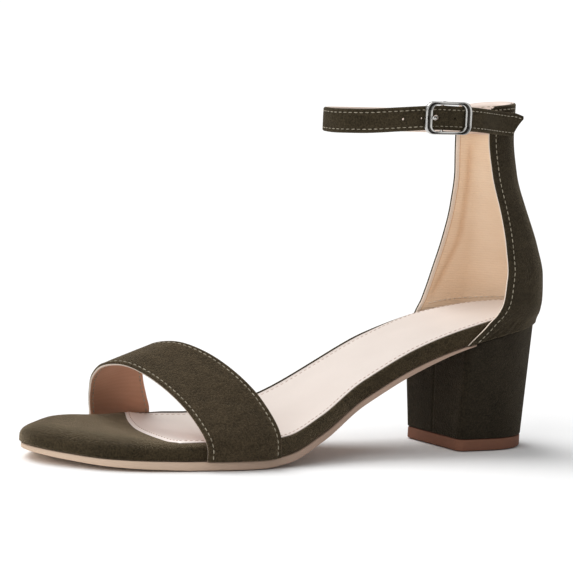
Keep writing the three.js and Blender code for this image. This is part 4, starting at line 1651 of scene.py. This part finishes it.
COUNTER_ROWS = tuple(CounterRow(*row) for row in (
    (0, 0.1, 0.985, 1, 1),
    (0.075, 0.09, 1.01, 0.83, 0.9),
    (0.12, 0.02, 1.045, 0.768, 0.857),
    (0.165, 0, 1.06, 0.727, 0.82),
    (0.27, 0.04, 1.055, 0.682, 0.727),
    (0.39, 0.24, 0.97, 0.604, 0.6),
    (0.54, 0.58, 0.806, 0.498, 0.463),
    (0.7, 0.877, 0.636, 0.44, 0.39),
    (0.865, 1, 0.548, 0.421, 0.39),
    (1, 0.99, 0.542, 0.42, 0.42),
))


class Pull(NamedTuple):
    """A fold where the counter's foot is pulled down: place round the wall, lean and depth."""

    place: float
    lean: float
    depth: float


PULLS = (Pull(-0.93, 0.012, 0.35), Pull(-0.86, 0.009, 0.3), Pull(-0.77, 0.006, 0.2), Pull(0.9, -0.01, 0.3))
LINING_SEAM = (
    (-9.3, 24.7, 56.4), (-2.2, 24.1, 57.7), (4.7, 22.9, 58.6), (12.4, 19.2, 59.4), (17.1, 14.9, 60), (20.6, 10.2, 60.6),
)


@dataclass
class Counter:
    """Closed heel counter with its lining and the pocket that holds the ankle strap."""

    form: SoleForm
    stitches: StitchTree
    thickness: float = 1.8
    back: float = 25.3
    top: float = 143.7
    top_fall: tuple[float, float] = (1.4, 2.8)
    foot: float = 46.0
    lean: float = 16.2
    depth: float = 43.2
    half: float = 26.3
    foot_proud: float = 1.3
    tab_thickness: float = 1.1
    tab_share: float = 0.86
    tunnel_drop: float = 6.5
    tunnel_fall: tuple[float, float] = (1.2, 2.6)
    strap_width: float = 9.8
    strap_thickness: float = 1.8
    row_inset: float = 2.2
    top_rows: tuple[float, float] = (1.7, 3.4)
    pocket_row: float = 4.5
    levels: int = 120
    fold_heights: tuple[float, ...] = (55.0, 61.7, 67.7, 74.6, 81.1, 87.7, 103.1, 118.2, 130.0)
    fold_places: tuple[float, ...] = (-9.6, -6.6, -3.5, -0.3, 1.8, 2.7, 1.25, -0.75, -2.0)

    def __post_init__(self) -> None:
        """Reads the table's columns."""
        at = [row.at for row in COUNTER_ROWS]
        names = CounterRow._fields[1:]
        self._columns = {name: Column(at, [getattr(row, name) for row in COUNTER_ROWS]) for name in names}
        self.foot_share = self.depth / self.form.length
        self.foot_half = float(self.form.half(self.foot_share)) + self.foot_proud

    @staticmethod
    def fall(fall: tuple[float, float], turn: np.ndarray) -> np.ndarray:
        """How far a line drops from the back towards the front edges."""
        return np.where(turn < 0, *fall) * (1 - np.cos(np.minimum(np.abs(turn), 1) * math.pi / 2))

    def top_at(self, turn: np.ndarray) -> np.ndarray:
        """Height of the wall's top, with soft front corners."""
        corner = 1.0 - smoothstep(1 - np.abs(turn), 0.0, 0.05)
        return self.top - self.fall(self.top_fall, turn) - 0.9 * corner

    def tunnel_at(self, turn: np.ndarray) -> np.ndarray:
        """Height of the strap's middle inside the pocket."""
        return self.top - self.tunnel_drop - self.fall(self.tunnel_fall, turn)

    def point(self, turn: np.ndarray, z: np.ndarray, inwards: Number) -> np.ndarray:
        """Points of the wall.

        Args:
            turn: -1 at the lateral edge, 0 at the back, 1 at the medial edge.
            z: Heights.
            inwards: Depth under the outer face.

        Returns:
            The points.
        """
        share = (z - self.foot) / (self.top - self.foot)
        back = self.back - self.lean * self._columns["lean"](share)
        reach = {-1: self._columns["lateral"](share), 1: self._columns["medial"](share)}
        girth = self.foot_half + (self.half - self.foot_half) * smoothstep(share, 0.2, 0.8)
        wide = girth * self._columns["half"](share) / self.form.half(self.foot_share)

        def spot(q: np.ndarray) -> np.ndarray:
            """The outer face in plan.

            Args:
                q: Places round the wall.

            Returns:
                Places along X and Y.
            """
            side = np.where(q < 0, -1, 1)
            length = self.depth * np.where(q < 0, reach[-1], reach[1])
            u = 1 - np.cos(np.minimum(np.abs(q), 1) * math.pi / 2)
            return np.stack([back - length * u, side * wide * self.form.half(u * self.foot_share)], -1)

        along = unit(spot(np.minimum(turn + 0.01, 1)) - spot(np.maximum(turn - 0.01, -1)))
        inner = np.stack([-along[..., 1], along[..., 0]], -1)
        flat = spot(turn) + inner * (np.asarray(inwards, float) + np.zeros_like(turn))[..., None]
        return np.concatenate([flat, (z + np.zeros_like(turn))[..., None]], -1)

    def foot_at(self, turn: np.ndarray) -> np.ndarray:
        """Height of the wall's lower edge, which stands on the heel.

        Args:
            turn: Places round the wall.

        Returns:
            The heights.
        """
        z = np.full(turn.shape, self.foot + self.form.gap)
        for _ in range(6):
            z = self.form.platform_underside(self.point(turn, z, 0.0)[..., 0])
        return z

    def relief(self, turn: np.ndarray, z: np.ndarray) -> np.ndarray:
        """Folds at the feet, softness in the ankle and the stitch channels.

        Args:
            turn: Places round the wall.
            z: Heights.

        Returns:
            Depth below the plain face.
        """
        above = z - self.foot_at(turn)
        pull = np.zeros_like(z)
        for place, lean, depth in PULLS:
            pull = pull + depth * bell(turn, place + lean * above, 0.018) * (1 - smoothstep(above, 3.0, 11.0))
        hollow = 0.35 * bell(z, 108.0, 9.0) * bell(turn, -0.55, 0.22)
        hollow = hollow - 0.25 * bell(z, 92.0, 8.0) * bell(turn, -0.6, 0.25)
        below = self.top_at(turn) - z
        return pull + hollow + 0.15 * sum(bell(below, drop, 0.4) for drop in self.top_rows)

    def fold(self, place: np.ndarray, turn: np.ndarray) -> np.ndarray:
        """Long soft fold down the medial side of the lining, which also sets painted shade along it.

        Args:
            place: Points of the wall.
            turn: Their places round the wall.

        Returns:
            Share of the fold's depth, 1 at its bottom.
        """
        line = np.interp(place[:, 2], self.fold_heights, self.fold_places)
        ends = smoothstep(place[:, 2], 55.0, 66.0) * (1 - smoothstep(place[:, 2], 118.0, 130.0))
        return bell(place[:, 0], line, 1.5) * ends * (turn > 0.1)

    def build(self) -> None:
        """Makes the wall, the pocket and their stitch rows."""
        self.wall()
        self.tab()
        self.rows()

    def wall(self) -> bpy.types.Object:
        """Suede outside, lining inside with painted shade along its fold, pale bound edges in front.

        Returns:
            The wall.
        """
        half_edge = 5
        spans = ((-1, -0.9, 14), (-0.9, 0.9, 120))
        turns = np.concatenate([*(np.linspace(*span)[:-1] for span in spans), np.linspace(0.9, 1, 14)])
        bend = np.linspace(0, math.pi, 2 * half_edge + 1)[1:-1]
        middle = self.thickness / 2
        flat = np.zeros(len(turns))
        edge_depth = middle * (1 - np.cos(bend))
        loop_turn = np.concatenate([turns, np.full(len(bend), 1.0), turns[::-1], np.full(len(bend), -1.0)])
        loop_depth = np.concatenate([flat, edge_depth, flat + self.thickness, edge_depth[::-1]])
        nose = np.concatenate([flat, np.sin(bend), flat, np.sin(bend)])
        inside = loop_depth / self.thickness
        lows, tops = self.foot_at(loop_turn), self.top_at(loop_turn)
        closing = [(1 - math.cos(a), math.sin(a)) for a in np.linspace(0, math.pi / 2, 6)[1:]]
        levels = [(0.0, lows + (tops - middle - lows) * s) for s in np.linspace(0, 1, self.levels + 1)]
        levels += [(inset, tops - middle + middle * rise) for inset, rise in closing]
        rings, edges, painted_shades = [], [], []
        for inset, z in levels:
            depth = loop_depth + (middle - loop_depth) * inset * 0.98
            depth = depth + self.relief(loop_turn, z) * (1 - inside) * (1 - inset)
            trough = self.fold(self.point(loop_turn, z, depth), loop_turn) * inside
            ring = self.point(loop_turn, z, depth - 0.35 * trough)
            front = self.point(np.where(loop_turn < 0, -1.0, 1.0), z, depth)
            edges.append(np.linalg.norm(ring - front, axis=1))
            # Painted shade along the lining's fold.
            painted_shades.append(0.42 * trough)
            ring[:, 0] -= nose * middle * 0.9
            rings.append(ring)
        skin = loft(np.stack(rings), open_ring=False)
        size, start = len(loop_turn), len(turns) + len(bend)
        inner = np.zeros(size, int)
        inner[start - 3 : start + len(turns) + 5] = 1
        side = np.tile(inner, len(rings) - 1)
        skin.faces = skin.faces[: len(side)] + self._cap(size, len(turns), len(bend), 0, False)
        skin.faces += self._cap(size, len(turns), len(bend), (len(rings) - 1) * size, True)
        skin.slots = np.concatenate([side, np.zeros(len(skin.faces) - len(side), int)])
        skin.edge, skin.tone = np.concatenate(edges), np.concatenate(painted_shades)
        return own(skin.to_object("counter_wall", Finish.SUEDE, Finish.COUNTER_LINING), "suede", "counter")

    @staticmethod
    def _cap(size: int, flat: int, bend: int, start: int, up: bool) -> list[tuple[int, ...]]:
        """Faces that close one end of the wall from its outer to its inner face.

        Args:
            size: Points round the ring.
            flat: Points along each face.
            bend: Points round each edge.
            start: The ring's first point.
            up: True for the upper end.

        Returns:
            The faces.
        """
        inner = start + 2 * flat + bend - 1
        loops = [(start + j, start + j + 1, inner - j - 1, inner - j) for j in range(flat - 1)]
        loops.append(tuple(start + flat - 1 + k for k in range(bend + 2)))
        loops.append(tuple(start + (2 * flat + bend - 1 + k) % size for k in range(bend + 2)))
        return [loop if up else tuple(reversed(loop)) for loop in loops]

    def tab(self) -> bpy.types.Object:
        """Lining band inside the top that holds the strap against the wall.

        Returns:
            The band.
        """
        outer = self.thickness + self.form.gap * 2 + self.strap_thickness
        reach = self.strap_width / 2 + self.form.gap + self.tab_thickness
        places, depths = rounded(self.tab_thickness, 2 * self.tab_share, 60, 3)
        turns = places - self.tab_share
        rings = []
        for level in np.concatenate([[-reach], np.linspace(0.3 - reach, reach - 0.3, 14), [reach]]):
            end = reach - abs(level)
            near_wall = 1.0 - min(end / 1.3, 1.0)
            back = outer - (outer - self.thickness + 0.3) * near_wall**2
            rings.append(self.point(turns, self.tunnel_at(turns) + level, back + depths * (1.0 if end > 0.01 else 0.6)))
        skin = loft(np.stack(rings), open_ring=True)
        return own(skin.to_object("counter_tab", Finish.STRAP_LINING), "suede")

    def rows(self) -> None:
        """Stitch rows along the front edges, the top, the pocket and the lining's foot."""
        lines = []
        for side in (-1, 1):
            edge = np.full(240, float(side))
            foot = self.foot_at(edge)
            heights = foot + (self.top_at(edge) - foot) * np.linspace(0.02, 0.96, 240)
            near = self.point(edge * 0.97, heights, 0.0)
            step = np.linalg.norm(self.point(edge, heights, 0.0) - near, axis=1)
            turn = side * (1 - 0.03 * self.row_inset / np.maximum(step, 1e-6))
            lines.append(self.point(turn, heights, self.relief(turn, heights) - 0.03))
        turn = np.linspace(-0.95, 0.95, 240)
        for drop in self.top_rows:
            heights = self.top_at(turn) - drop
            lines.append(self.point(turn, heights, self.relief(turn, heights) - 0.03))
        inside = self.thickness + 2 * self.form.gap + self.strap_thickness + self.tab_thickness + 0.03
        turn = np.linspace(-self.tab_share * 0.94, self.tab_share * 0.94, 160)
        for level in (-self.pocket_row, self.pocket_row):
            lines.append(self.point(turn, self.tunnel_at(turn) + level, inside))
        own(self.stitches.sew("counter_stitches", lines, StitchRow(2.3, 1.7, 0.4), 23), "suede")
        line = Route(LINING_SEAM).at(np.linspace(0, 1, 60))
        rows = [line, line * np.array([1.0, -1.0, 1.0])]
        own(self.stitches.sew("lining_stitches", rows, StitchRow(2.3, 1.6, 0.36), 29, Finish.THREAD_PALE), "suede")


class EndRow(NamedTuple):
    """One place on the strap's free end, as shares of its length and width."""

    at: float
    low: float
    high: float


STRAP_END_ROWS = tuple(EndRow(*row) for row in (
    (0, 0, 1),
    (0.25, 0.26, 0.99),
    (0.5, 0.47, 0.96),
    (0.75, 0.65, 0.92),
    (1, 0.8, 0.87),
))


@dataclass
class AnkleStrap:
    """Narrow strap round the ankle, lined, stitched and punched."""

    form: SoleForm
    counter: Counter
    stitches: StitchTree
    buckle_at: tuple[float, float, float] = (-39.8, -26.1, 137.7)
    bar_depth: float = 2.9
    width: float = 9.8
    thickness: float = 1.8
    tip: float = 6.0
    row_inset: float = 1.55
    hole: float = 1.0
    hole_pitch: float = 7.55
    holes_at: float = -3.6
    prong_hole: float = -4.9
    prong_hole_length: float = 3.6
    prong_hole_flat: float = 0.62
    inner: tuple[tuple[float, float, float], ...] = ((-31, -23.1, 137.4), (-21, -18.2, 136.8), (-12.2, -12.4, 136.2))
    outer: tuple[tuple[float, float, float], ...] = (
        (-12.2, 12.4, 134.4), (-20.5, 18.2, 134.1), (-28, 22.8, 133.9), (-37, 25.5, 133.8),
        (-47, 25, 133.8), (-57.5, 22, 133.9), (-67, 17.2, 134.1), (-74.2, 10.6, 134.3),
        (-78, 3.2, 134.5), (-78.1, -3, 134.5), (-75.2, -9.6, 134.8), (-69, -15.9, 135.3),
        (-60, -21.6, 136.4), (-51, -25.2, 137.3), (-45, -26.1, 137.7), (-39.8, -26.1, 137.7),
        (-34, -26.1, 137.6), (-28, -26, 137.4), (-21, -24.4, 136.9), (-14.5, -20.6, 136.3),
        (-8, -16.9, 135.7), (-1, -14.3, 135.1), (7, -12.9, 134.7),
    )

    def __post_init__(self) -> None:
        """Lays the strap's middle line through the tunnel and the buckle."""
        bar = (self.buckle_at[0], self.buckle_at[1] + self.bar_depth, self.buckle_at[2])
        inside = self.counter.thickness + self.form.gap + self.thickness / 2
        turns = np.linspace(-1, 1, 13)
        tunnel = self.counter.point(turns, self.counter.tunnel_at(turns), inside)
        self.route = Route([bar, *self.inner, *tunnel.tolist(), *self.outer])
        at = [row.at for row in STRAP_END_ROWS]
        self._low = Column(at, [row.low for row in STRAP_END_ROWS])
        self._high = Column(at, [row.high for row in STRAP_END_ROWS])

    def point(self, share: np.ndarray, across: Number, lift: Number) -> np.ndarray:
        """Points of the strap.

        Args:
            share: Shares of the length.
            across: Shares of the width from the lower edge.
            lift: Distance outwards from the strap's middle.

        Returns:
            The points.
        """
        heading = self.route.heading(share)
        out = unit(np.stack([heading[..., 1], -heading[..., 0], np.zeros(heading.shape[:-1])], -1))
        middle = self.route.at(share)
        place = middle + out * (np.asarray(lift, float) + np.zeros(middle.shape[:-1]))[..., None]
        place[..., 2] += self.width * (np.asarray(across, float) - 0.5)
        return place

    def end_share(self, share: np.ndarray) -> np.ndarray:
        """Share of the free end's length, 0 before it starts."""
        start = 1 - self.tip / self.route.length
        return np.clip((share - start) / (1 - start), 0, 1)

    def share_at(self, x: float) -> float:
        """Share of the length at which the outer run passes a place along X."""
        shares = np.linspace(0.6, 1, 4000)
        return float(shares[np.argmin(np.abs(self.route.at(shares)[:, 0] - x))])

    def build(self) -> None:
        """Makes the strap, punches it and sews its rows."""
        strap = self.band()
        self.punch(strap)
        own(strap, "suede", "ankle_strap")
        self.rows()

    def band(self) -> bpy.types.Object:
        """Suede face and edge over a pale lining.

        Returns:
            The strap, not yet punched.
        """
        start = 1 - self.tip / self.route.length
        shares = np.concatenate([np.linspace(0, start, 420), np.linspace(start, 1, 26)[1:]])
        places, depths = rounded(self.thickness, self.width, 26)
        ends = self.end_share(shares)
        rings = []
        for share, end in zip(shares, ends):
            low, high = float(self._low(end)), float(self._high(end))
            across = low + (high - low) * places / self.width
            close = math.sqrt(max(1 - max((end - 0.86) / 0.14, 0) ** 2, 0.02))
            channel = sum(bell(share_in * self.width, self.row_inset, 0.4) for share_in in (across, 1 - across))
            lift = (self.thickness / 2 - depths) * close
            lift = np.where(depths < self.thickness / 2, lift - 0.12 * channel, lift)
            rings.append(self.point(np.full(len(places), share), across, lift))
        skin = loft(np.stack(rings), open_ring=True)
        side = np.tile(section_slots(places, depths, self.thickness, 0.2), len(shares) - 1)
        skin.slots = np.concatenate([side, np.zeros(len(skin.faces) - len(side), int)])
        skin.edge = np.tile(np.minimum(places, self.width - places), len(shares))
        return skin.to_object("ankle_strap_band", Finish.SUEDE_ANKLE, Finish.STRAP_LINING, Finish.CUT_EDGE)

    def punch(self, strap: bpy.types.Object) -> None:
        """Cuts the adjusting holes and the prong's hole.

        Args:
            strap: The strap to punch.
        """
        first = self.share_at(self.buckle_at[0] + self.holes_at)
        pitch = self.hole_pitch / self.route.length
        prong = self.share_at(self.buckle_at[0] + self.prong_hole)
        long = self.prong_hole_length / self.hole
        for at, wide in ((first - 2 * pitch, 1.0), (first - pitch, 1.0), (prong, long), (first + pitch, 1.0)):
            share = np.array([at])
            middle = self.route.at(share)[0]
            heading = self.route.heading(share)[0]
            bpy.ops.mesh.primitive_cylinder_add(vertices=32, radius=self.hole / 2 * MM, depth=self.thickness * 1.8 * MM)
            cutter = bpy.context.object
            size = (wide, self.prong_hole_flat * wide if wide > 1.0 else 1.0, 1.0)
            turn = math.atan2(heading[1], heading[0])
            cutter.matrix_world = (
                Matrix.Translation(Vector(middle) * MM)
                @ Matrix.Rotation(turn, 4, "Z")
                @ Matrix.Rotation(math.pi / 2, 4, "X")
                @ Matrix.Diagonal((*size, 1.0))
            )
            cut = strap.modifiers.new("punch", "BOOLEAN")
            cut.object, cut.operation, cut.solver = cutter, "DIFFERENCE", "EXACT"
            apply_modifiers(strap)
            bpy.data.objects.remove(cutter)

    def rows(self) -> bpy.types.Object:
        """Stitch rows along both edges.

        Returns:
            The stitches.
        """
        end = 1 - self.tip / self.route.length
        shares = np.linspace(0.012, end, 700)
        inset = self.row_inset / self.width
        lift = self.thickness / 2 - 0.04
        lines = [self.point(shares, across, lift) for across in (inset, 1 - inset)]
        tip = np.linspace(end, 1 - 2.6 / self.route.length, 30)
        lines[1] = np.vstack([lines[1], self.point(tip, self._high(self.end_share(tip)) - inset, lift)])
        return own(self.stitches.sew("ankle_strap_stitches", lines, StitchRow(2.3, 1.6, 0.36), 37), "suede")


@dataclass
class Buckle:
    """Plated frame with hollowed side bars, and its prong."""

    at: tuple[float, float, float] = (-39.8, -26.1, 137.7)
    length: float = 22.0
    height: float = 13.2
    bar: float = 3.1
    rail: float = 1.3
    thickness: float = 1.5
    corner: float = 3.8
    level: float = 1.2
    bar_depth: float = 2.9
    bar_diameter: float = 1.4
    prong_diameter: float = 1.3
    valley: float = 0.55
    least_valley: float = 0.35
    eye_radius: float = 0.33
    eye_flat: float = 0.62

    def build(self) -> None:
        """Makes the frame with its middle bar, and the prong."""
        self.ring()
        self.prong()

    def _outline(self, length: float, height: float, corner: float, steps: int = 16, side: int = 14) -> np.ndarray:
        """Rounded rectangle with matching points for any size.

        Args:
            length: Size along the strap.
            height: Size across it.
            corner: Radius of its corners.
            steps: Steps round a corner.
            side: Steps along a side.

        Returns:
            Places along X and Z.
        """
        x, z = length / 2 - corner, height / 2 - corner
        arcs = []
        for k, (cx, cz) in enumerate(((x, z), (-x, z), (-x, -z), (x, -z))):
            turn = np.linspace(k * math.pi / 2, (k + 1) * math.pi / 2, steps + 1)
            arcs.append(np.column_stack([cx + corner * np.cos(turn), cz + corner * np.sin(turn)]))
        points = []
        for k in range(4):
            points.append(arcs[k])
            share = np.linspace(0, 1, side + 1)[1:-1, None]
            points.append(arcs[k][-1] + (arcs[(k + 1) % 4][0] - arcs[k][-1]) * share)
        return np.vstack(points)

    def ring(self) -> bpy.types.Object:
        """Frame whose bars are hollowed between two bright rims, with a painted dark reflection in the hollow.

        Returns:
            The frame.
        """
        outer = self._outline(self.length, self.height, self.corner)
        inner = self._outline(self.length - 2 * self.bar, self.height - 2 * self.rail, self.corner - self.rail)
        shares = np.concatenate([[0.0, 0.0, 0.02, 0.06], np.linspace(0.12, 0.88, 17), [0.94, 0.98, 1.0, 1.0]])
        faces_out = np.concatenate([[0.35, 0.7, 0.88, 0.98], np.ones(17), [0.98, 0.88, 0.7, 0.35]])
        dip = np.sin(np.clip((shares - 0.14) / 0.72, 0, 1) * math.pi) ** 2
        dish = np.where((shares > 0.1) & (shares < 0.9), dip, 0)
        wide = np.linalg.norm(outer - inner, axis=1)
        scale = smoothstep(wide, self.rail * 1.05, self.bar * 0.92)
        scale = self.least_valley + (1 - self.least_valley) * scale
        loops = []
        for k in range(len(outer)):
            flat = outer[k] + (inner[k] - outer[k]) * shares[:, None]
            front = self.level + self.thickness * faces_out - self.valley * dish * scale[k]
            back = np.array([self.level + 0.2, self.level, self.level, self.level + 0.2])
            back_flat = outer[k] + (inner[k] - outer[k]) * np.array([1.0, 0.94, 0.06, 0.0])[:, None]
            loop = np.column_stack([flat[:, 0], -front, flat[:, 1]])
            under = np.column_stack([back_flat[:, 0], -back, back_flat[:, 1]])
            loops.append(np.vstack([loop, under]))
        grid = np.stack(loops) + np.asarray(self.at)
        count, size = grid.shape[:2]
        faces = quads(count, size, closed=True)
        # Painted dark reflection: how far each point lies in the bars' hollow, which darkens the metal there.
        hollow = np.concatenate([dish, np.zeros(4)]) * scale[:, None]
        frame_mesh = Skin(grid.reshape(-1, 3), faces, tone=hollow.ravel()).to_object("buckle_ring", Finish.METAL)
        bar = self._bar().to_object("buckle_bar", Finish.METAL)
        own(bar, "metal")
        return own(frame_mesh, "metal", "buckle_frame")

    def _bar(self) -> Skin:
        """Middle bar behind the strap, bent up to the rails at its ends.

        Returns:
            The bar.
        """
        rail = self.height / 2 - self.rail / 2
        path = [
            (0.0, -self.level - self.thickness * 0.5, -rail),
            (0.0, -0.2, -rail),
            (0.0, self.bar_depth * 0.7, -rail + 0.05),
            (0.0, self.bar_depth, -rail + 0.75),
            (0.0, self.bar_depth, 0.0),
            (0.0, self.bar_depth, rail - 0.75),
            (0.0, self.bar_depth * 0.7, rail - 0.05),
            (0.0, -0.2, rail),
            (0.0, -self.level - self.thickness * 0.5, rail),
        ]
        return self._tube(np.asarray(path), lambda share: np.full(share.shape, self.rail / 2), 90, Vector((1, 0, 0)))

    def _tube(
        self, path: np.ndarray, radius: Callable[[np.ndarray], np.ndarray], steps: int, side: Vector
    ) -> Skin:
        """Round rod along a flat path.

        Args:
            path: Points in the buckle's axes.
            radius: Radius for a share of the length.
            steps: Steps along it.
            side: Direction square to the path's plane.

        Returns:
            The rod.
        """
        route = Route(path)
        share = np.linspace(0, 1, steps + 1)
        middle, heading = route.at(share), route.heading(share)
        first = np.tile(np.asarray(side, float), (len(share), 1))
        second = unit(np.cross(heading, first))
        turn = np.linspace(0, 2 * math.pi, 20, endpoint=False)
        size = radius(share)[:, None, None]
        rings = middle[:, None] + size * (
            np.cos(turn)[None, :, None] * first[:, None] + np.sin(turn)[None, :, None] * second[:, None]
        )
        return loft(rings + np.asarray(self.at))

    def prong(self) -> bpy.types.Object:
        """Prong from the middle bar, up through the strap, with a rounded end.

        Returns:
            The prong.
        """
        over = -self.level - self.thickness - 0.3 - self.prong_diameter / 2
        path = [(-1.0, 1.9, 0), (-2.8, 2, 0), (-4, 1.5, 0), (-4.9, 0.4, 0), (-5.7, -1.2, 0), (-6.7, over + 0.8, 0)]
        path += [(-7.7, over, 0), (-8.9, over + 0.1, 0)]

        def radius(share: np.ndarray) -> np.ndarray:
            """Even, closing to a round nose."""
            nose = np.clip((share - 0.955) / 0.045, 0, 1)
            return self.prong_diameter / 2 * (1 + 0.12 * smoothstep(share, 0.6, 0.9)) * np.sqrt(1 - nose**2 * 0.98)

        shaft = self._tube(np.asarray(path, float), radius, 90, Vector((0, 0, 1)))
        piece = own(shaft.to_object("prong_shaft", Finish.METAL), "metal", "buckle_prong")
        turn = np.linspace(0, 2 * math.pi, 40, endpoint=False)
        section = np.linspace(0, 2 * math.pi, 14, endpoint=False)
        middle = self.bar_diameter / 2 + 0.3 + self.eye_radius
        grid = np.empty((len(turn), len(section), 3))
        for i, angle in enumerate(turn):
            reach = middle + self.eye_radius * np.cos(section)
            grid[i] = np.column_stack(
                [reach * math.cos(angle), self.bar_depth + reach * math.sin(angle), self.eye_flat * np.sin(section)]
            )
        count, size = grid.shape[:2]
        faces = quads(count, size, closed=True)
        eye = Skin(grid.reshape(-1, 3) + np.asarray(self.at), faces).to_object("prong_eye", Finish.METAL)
        own(eye, "metal")
        return piece


@dataclass
class Studio:
    """Pale floor, soft light and the camera at the photograph's angle."""

    azimuth: float = 30.25
    elevation: float = 5.95
    roll: float = 2.92
    distance: float = 1199.0
    scale: float = 2.48
    target: tuple[float, float, float] = (-94.7, 0.0, 66.85)
    image: int = 573
    sensor: float = 36.0
    floor_reach: float = 150.0
    floor_level: float = -0.0004
    sky: float = 0.3
    key: tuple[float, float, tuple[float, float, float]] = (2.4, 50.0, (-0.22, 0.44, 0.87))
    fill: tuple[float, float, tuple[float, float, float]] = (1.1, 50.0, (-0.75, -0.3, 0.59))

    def build(self) -> None:
        """Sets up the floor, the light and the camera."""
        self.floor()
        self.light()
        self.camera()

    def floor(self) -> None:
        """Large plain sheet under the shoe."""
        reach, mesh = self.floor_reach, bpy.data.meshes.new("floor")
        signs = ((-1, -1), (1, -1), (1, 1), (-1, 1))
        corners = [(x * reach, y * reach, self.floor_level) for x, y in signs]
        mesh.from_pydata(corners, [], [(0, 1, 2, 3)])
        mesh.materials.append(Finish.FLOOR.material())
        placed("floor", mesh)

    def light(self) -> None:
        """Even sky, a high broad key light from behind and a broad fill from the toe's side."""
        world = bpy.data.worlds.new("studio")
        bpy.context.scene.world = world
        world.use_nodes = True
        sky = world.node_tree.nodes["Background"]
        sky.inputs["Color"].default_value = (1.0, 1.0, 1.0, 1.0)
        sky.inputs["Strength"].default_value = self.sky
        for name, power, width, origin in (("key", *self.key), ("fill", *self.fill)):
            lamp = bpy.data.lights.new(name, "SUN")
            lamp.energy, lamp.angle = power, math.radians(width)
            placed(name, lamp).matrix_world = Vector(origin).to_track_quat("Z", "Y").to_matrix().to_4x4()

    def camera(self) -> None:
        """Long lens at the photograph's angle, rolled as the photograph is."""
        turn, rise, roll = (math.radians(value) for value in (self.azimuth, self.elevation, self.roll))
        view = Vector((math.sin(turn) * math.cos(rise), math.cos(turn) * math.cos(rise), -math.sin(rise)))
        level = Vector((math.cos(turn), -math.sin(turn), 0.0))
        upright = level.cross(view)
        right = level * math.cos(roll) + upright * math.sin(roll)
        up = upright * math.cos(roll) - level * math.sin(roll)
        place = (Vector(self.target) - view * self.distance) * MM
        lens = bpy.data.cameras.new("camera")
        lens.sensor_width = self.sensor
        lens.lens = self.scale * self.distance / self.image * lens.sensor_width
        lens.clip_start, lens.clip_end = 0.05, 300.0
        holder = placed("camera", lens)
        turned = Matrix((right, up, -view)).transposed().to_4x4()
        holder.matrix_world = Matrix.Translation(place) @ turned
        bpy.context.scene.camera = holder
        bpy.context.scene.view_settings.view_transform = "Standard"


def main() -> None:
    """Builds the shoe's sub-assemblies in order."""
    logging.basicConfig(level=logging.INFO, format="%(name)s %(message)s")
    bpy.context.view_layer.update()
    form = SoleForm()
    stitches = StitchTree()
    counter = Counter(form, stitches)
    for part in (
        Sole(form, stitches),
        Heel(form),
        ToeStrap(form, stitches),
        counter,
        AnkleStrap(form, counter, stitches),
        Buckle(),
        Studio(),
    ):
        LOG.info("building %s", type(part).__name__)
        part.build()


if __name__ == "__main__":
    main()
